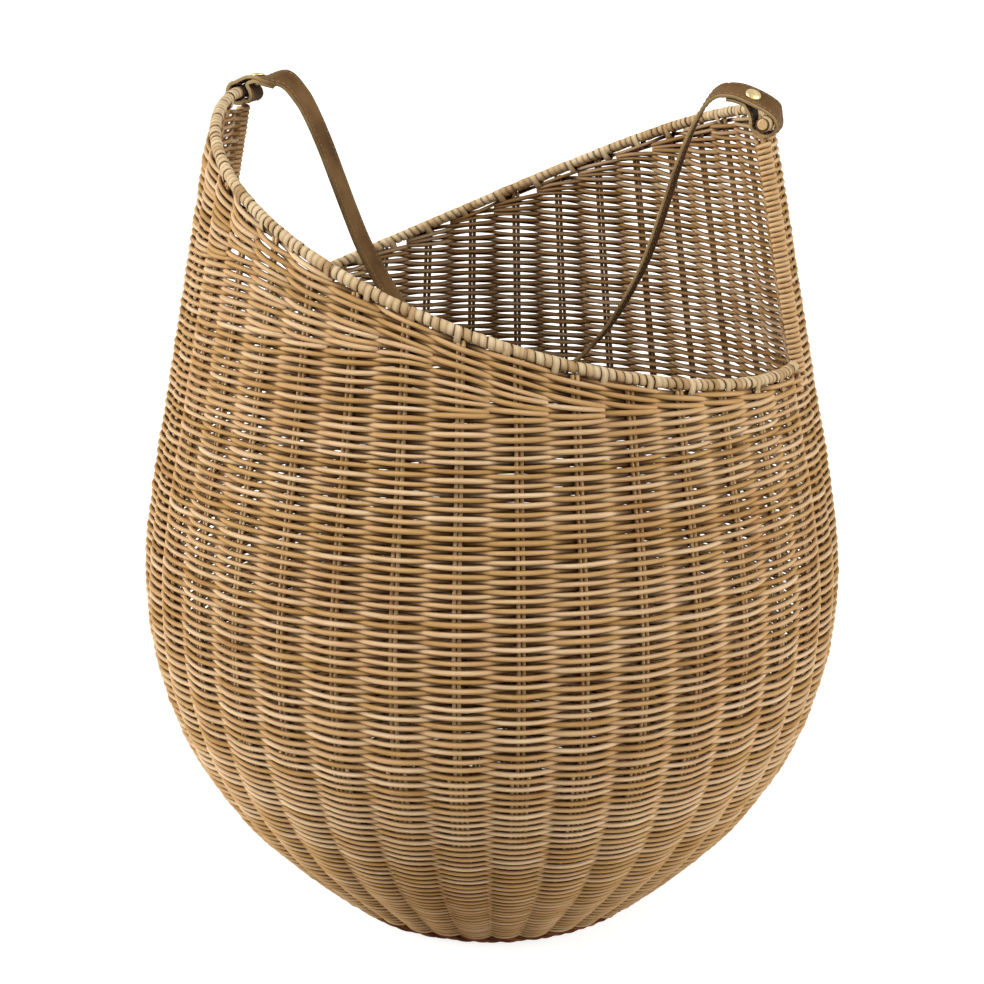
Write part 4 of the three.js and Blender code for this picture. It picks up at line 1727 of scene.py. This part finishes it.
@dataclass
class StrapHalf:
    """Half of the strap: a folded end, and the slack part to the lowest point."""

    path: StrapPath
    columns: int = 6
    edge_round: float = 0.4 * MM
    edge_segments: int = 3
    edge_angle: float = 60.0
    smooth_angle: float = 35.0
    inner_change: float = 0.3 * MM
    first_stitch: float = 3 * MM
    stitch_inset: float = 1.9 * MM
    stitch_length: float = 2.1 * MM
    stitch_pitch: float = 3.1 * MM
    stitch_radius: float = 0.26 * MM
    blend_from: float = 127 * MM
    blend_to: float = 100 * MM

    def build(self) -> List[bpy.types.Object]:
        """The leather and its stitches.

        Returns:
            The two pieces.
        """
        pieces = [self._leather(), self._stitches()]
        for piece in pieces:
            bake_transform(piece)
        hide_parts(f"strap_end_{self.path.side.name.lower()}")
        if self.path.side is Side.RIGHT:
            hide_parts("hanging_strap")
        return pieces

    def _line(self) -> Tuple[np.ndarray, np.ndarray]:
        """Middle line and width directions on this side.

        Returns:
            The points and the directions.
        """
        points = self.path.points()
        across = self.path.across(points)
        return points * np.array([self.path.side.way, 1.0, 1.0]), across

    def _leather(self) -> bpy.types.Object:
        """A grid laid along the line, thickened, with its edges rounded and cut at the lowest point.

        Returns:
            The piece.
        """
        points, across = self._line()
        name = f"strap_{self.path.side.name.lower()}"
        bpy.ops.object.select_all(action="DESELECT")
        bpy.ops.mesh.primitive_grid_add(x_subdivisions=self.columns, y_subdivisions=len(points) - 1, size=1)
        strap = bpy.context.object
        strap.name = name
        places = np.linspace(-0.5, 0.5, self.columns + 1) * self.path.width
        grid = points[:, None, :] + across[:, None, :] * places[None, :, None]
        strap.data.vertices.foreach_set("co", grid.astype(np.float32).ravel())
        strap.data.materials.append(Finish.LEATHER.material)
        strap.data.materials.append(Finish.LEATHER_EDGE.material)
        solidify = strap.modifiers.new("thickness", "SOLIDIFY")
        solidify.thickness = self.path.thickness
        solidify.offset = 0
        solidify.use_even_offset = True
        solidify.material_offset_rim = 1
        bevel = strap.modifiers.new("round", "BEVEL")
        bevel.width = self.edge_round
        bevel.segments = self.edge_segments
        bevel.limit_method = "ANGLE"
        bevel.angle_limit = math.radians(self.edge_angle)
        for modifier in ("thickness", "round"):
            bpy.ops.object.modifier_apply(modifier=modifier)
        bpy.ops.object.mode_set(mode="EDIT")
        bpy.ops.mesh.select_all(action="SELECT")
        right = self.path.side is Side.RIGHT
        bpy.ops.mesh.bisect(
            plane_co=(0, 0, 0), plane_no=(1, 0, 0), use_fill=True, clear_inner=right, clear_outer=not right)
        bpy.ops.mesh.select_all(action="SELECT")
        bpy.ops.mesh.normals_make_consistent(inside=False)
        bpy.ops.object.mode_set(mode="OBJECT")
        bpy.ops.object.shade_smooth_by_angle(angle=math.radians(self.smooth_angle))
        self._mark_inner_shade(strap)
        return strap

    def _mark_inner_shade(self, strap: bpy.types.Object) -> None:
        """Stores at each point how far it is on the leather's inner side, as the share of painted shade that
        the leather's finish reads.

        Args:
            strap: The leather.
        """
        points, across = self._line()
        normals = unit_rows(np.cross(np.gradient(points, axis=0), across) * self.path.side.way)
        places = np.empty(len(strap.data.vertices) * 3)
        strap.data.vertices.foreach_get("co", places)
        places = places.reshape(-1, 3)
        inner, outer = (
            np.min(np.linalg.norm(places[:, None] - middles[None], axis=2), axis=1)
            for middles in (points + way * normals * self.path.thickness / 2 for way in (1, -1)))
        share = np.clip((outer - inner) / self.inner_change + 0.5, 0, 1)
        # The inside attribute carries the share of painted shade.
        layer = strap.data.attributes.new("inside", "FLOAT", "POINT")
        layer.data.foreach_set("value", share.astype(np.float32))

    def _stitches(self) -> bpy.types.Object:
        """Short stitches along both edges, on both faces.

        Returns:
            The stitches as one piece.
        """
        points, across = self._line()
        length = lengths_along(points)
        normals = np.cross(unit_rows(np.gradient(points, axis=0)), across)
        mesh = StrandMesh(f"stitches_{self.path.side.name.lower()}", sides=6)
        end = float(np.interp(0, np.abs(points[::-1, 0]), length[::-1]))
        offset = self.path.width / 2 - self.stitch_inset
        for start in np.arange(self.first_stitch, end - self.stitch_length, self.stitch_pitch):
            place = start + self.stitch_length * np.linspace(0, 1, 4)
            middle, width, normal = (rows_at(place, length, rows) for rows in (points, across, normals))
            rise = self.stitch_radius * np.array([-0.6, 0.35, 0.35, -0.6]) + self.path.thickness / 2
            size = self.stitch_radius * np.array([0.6, 1.0, 1.0, 0.6])
            for edge in (-1, 1):
                for face in (-1, 1):
                    centres = middle + width * offset * edge + normal * (face * rise)[:, None]
                    mesh.add(centres, normal * face, size, size, 0.5)
        return mesh.build(Finish.THREAD)


@dataclass
class Rivet:
    """A domed cap with its post, and the washer under the two plies."""

    path: StrapPath
    shares: Tuple[float, float] = (0.57, 0.5)
    cap_radius: float = 4.3 * MM
    cap_height: float = 1.8 * MM
    post_radius: float = 1.5 * MM
    washer_radius: float = 3.2 * MM
    washer_hole: float = 1.8 * MM
    washer_thickness: float = 0.9 * MM
    washer_share: float = 0.94
    washer_edge: float = 0.2 * MM
    brim_share: float = 0.97
    cap_edge: float = 0.25 * MM
    seat_gap: float = 0.05 * MM
    dome_steps: int = 9
    steps: int = 48
    smooth_angle: float = 40.0

    def build(self) -> List[bpy.types.Object]:
        """The cap and the washer.

        Returns:
            The two pieces.
        """
        top = self.path.thickness / 2
        grip = 2 * self.path.thickness + 2 * self.path.wall.clearance
        seat = top + self.seat_gap
        low = top - grip - self.washer_thickness
        angles = np.linspace(0, HALF_TURN / 2, self.dome_steps)
        dome_height = self.cap_height - self.cap_edge
        cap = [(0.0, low), (self.post_radius, low), (self.post_radius, seat)]
        cap += [(self.cap_radius * self.brim_share, seat)]
        cap += [
            (self.cap_radius * math.cos(angle), seat + self.cap_edge + dome_height * math.sin(angle))
            for angle in angles]
        cap[-1] = (0.0, cap[-1][1])
        washer = [
            (self.washer_hole, low), (self.washer_radius * self.washer_share, low),
            (self.washer_radius, low + self.washer_edge), (self.washer_radius, top - grip),
            (self.washer_hole, top - grip), (self.washer_hole, low),
        ]
        name = self.path.side.name.lower()
        return [self._turned(f"rivet_{name}", cap, f"rivet_cap_{name}"),
                self._turned(f"washer_{name}", washer, f"rivet_washer_{name}")]

    def _turned(self, name: str, profile: Sequence[Tuple[float, float]], node: str) -> bpy.types.Object:
        """Spins a profile about its axis and puts it at the rivet's place.

        Args:
            name: The piece's name.
            profile: Radius and height of each point.
            node: The node that it stands for.

        Returns:
            The piece.
        """
        mesh = bpy.data.meshes.new(name)
        edges = [(i, i + 1) for i in range(len(profile) - 1)]
        mesh.from_pydata([(radius, 0.0, height) for radius, height in profile], edges, [])
        piece = bpy.data.objects.new(name, mesh)
        bpy.context.scene.collection.objects.link(piece)
        bpy.ops.object.select_all(action="DESELECT")
        piece.select_set(True)
        bpy.context.view_layer.objects.active = piece
        bpy.ops.object.mode_set(mode="EDIT")
        bpy.ops.mesh.select_all(action="SELECT")
        bpy.ops.mesh.spin(
            steps=self.steps, angle=FULL_TURN, center=(0, 0, 0), axis=(0, 0, 1), use_auto_merge=True)
        bpy.ops.mesh.select_all(action="SELECT")
        bpy.ops.mesh.remove_doubles(threshold=0.005 * MM)
        bpy.ops.mesh.normals_make_consistent(inside=False)
        bpy.ops.object.mode_set(mode="OBJECT")
        point, above = self.path.on_upper(self.shares[self.path.side.value])
        way = self.path.side.way
        aside = np.cross(above, np.array([1.0, 0.0, 0.0]))
        aside /= np.linalg.norm(aside)
        axes = np.stack([np.cross(aside, above), aside, above])
        spot = self.path.centre + point
        turned = np.empty(len(mesh.vertices) * 3)
        mesh.vertices.foreach_get("co", turned)
        placed = (turned.reshape(-1, 3) @ axes + spot) * np.array([way, 1.0, 1.0])
        mesh.vertices.foreach_set("co", placed.astype(np.float32).ravel())
        if self.path.side is Side.LEFT:
            mesh.flip_normals()
        mesh.materials.append(Finish.BRASS.material)
        bpy.ops.object.shade_smooth_by_angle(angle=math.radians(self.smooth_angle))
        dress(piece, node)
        return piece


# The room round the basket


@dataclass(frozen=True)
class Lamp:
    """A soft distant lamp: where it shines from, its width in degrees and its strength."""

    name: str
    place: Tuple[float, float, float]
    spread: float
    strength: float

    def build(self) -> None:
        """Hangs the lamp."""
        data = bpy.data.lights.new(self.name, "SUN")
        data.angle = math.radians(self.spread)
        data.energy = self.strength
        lamp = bpy.data.objects.new(self.name, data)
        lamp.rotation_euler = (-Vector(self.place)).to_track_quat("-Z", "Y").to_euler()
        bpy.context.scene.collection.objects.link(lamp)


@dataclass
class Studio:
    """A pale floor, soft lamps and the camera."""

    camera_place: Tuple[float, float, float] = (0.3626, -1.1502, 0.606)
    camera_turn: Tuple[float, float, float] = (73.0, 0.0, 17.5)
    lens: float = 80.7
    sensor_width: float = 36
    clip_start: float = 0.01
    floor_size: float = 60
    floor_colour: Colour = (0.45, 0.42, 0.37)
    floor_glow: float = 0.8
    room_light: float = 0.19
    lamps: Tuple[Lamp, ...] = (
        Lamp("key", (-2.2, -1.0, 1.4), 40, 3.95),
        Lamp("fill", (2.4, -0.45, 1.5), 50, 2.85),
    )

    def build(self) -> None:
        """Makes the floor, the world, the lamps and the camera."""
        self._floor()
        self._world()
        for lamp in self.lamps:
            lamp.build()
        data = bpy.data.cameras.new("camera")
        data.lens = self.lens
        data.sensor_width = self.sensor_width
        data.clip_start = self.clip_start
        camera = bpy.data.objects.new("camera", data)
        camera.location = self.camera_place
        camera.rotation_euler = tuple(math.radians(angle) for angle in self.camera_turn)
        bpy.context.scene.collection.objects.link(camera)
        bpy.context.scene.camera = camera
        bpy.context.scene.view_settings.view_transform = "Standard"

    def _floor(self) -> None:
        """A large pale floor."""
        bpy.ops.object.select_all(action="DESELECT")
        bpy.ops.mesh.primitive_plane_add(size=self.floor_size, location=(0, 0, 0))
        floor = bpy.context.object
        floor.name = "floor"
        nodes = Surface("floor_paint")
        nodes.set(Base_Color=(*self.floor_colour, 1), Roughness=0.9, Specular_IOR_Level=0.1)
        nodes.set(Emission_Color=(1, 1, 1, 1))
        glow = nodes.math("MULTIPLY", nodes.seen(), self.floor_glow)
        nodes.link(glow, nodes.shader.inputs["Emission Strength"])
        floor.data.materials.append(nodes.material)
        floor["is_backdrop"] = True

    def _world(self) -> None:
        """White where it is seen, and a plain level of light everywhere."""
        world = bpy.data.worlds.new("room")
        bpy.context.scene.world = world
        world.use_nodes = True
        nodes = Nodes(world.node_tree)
        background = nodes.tree.nodes["Background"]
        background.inputs["Color"].default_value = (1, 1, 1, 1)
        scale = nodes.add("MapRange")
        scale.inputs["To Min"].default_value = self.room_light
        scale.inputs["To Max"].default_value = 1.0
        nodes.link(nodes.seen(), scale.inputs["Value"])
        nodes.link(scale.outputs["Result"], background.inputs["Strength"])


def main() -> None:
    """Builds the basket piece by piece and reports each."""
    logging.basicConfig(level=logging.INFO, format="%(message)s")
    wall = Wall()
    back = Half(
        "back", wall, half_turns=0, power=2.4, tuck_shares=(0.92, 0.92), tuck_spread=0.04, fullness=1.04,
        dip=6.0 * MM, flare=3.2 * MM)
    front = Half(
        "front", wall, half_turns=1, power=1.5, tuck_shares=(0.85, 0.45), tuck_spread=0.2, fullness=1.14)
    halves = (back, front)
    Studio().build()
    pieces = Weave(wall, halves).build()
    for piece in pieces:
        dress(piece, "fine_weave" if piece.name.startswith("fine") else "open_weave")
    for half in halves:
        edge = WovenEdge(wall, half).build()
        dress(edge, "open_weave")
        pieces += [edge, *RimRoll(wall, half).build()]
    pieces += Stakes(wall, halves).build()
    pieces += [RolledFoot(wall).build(), *WovenBase(wall).build()]
    for side, half in zip(Side, halves):
        path = StrapPath(wall, half, side)
        pieces += StrapHalf(path).build()
        pieces += Rivet(path).build()
    for piece in pieces:
        log.info("%s: %d faces", piece.name, len(piece.data.polygons))
    boxes = {"before": solid_box, "after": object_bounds()}
    {key: [[float(v) for v in corner] for corner in box] for key, box in boxes.items()}


if __name__ == "__main__":
    main()
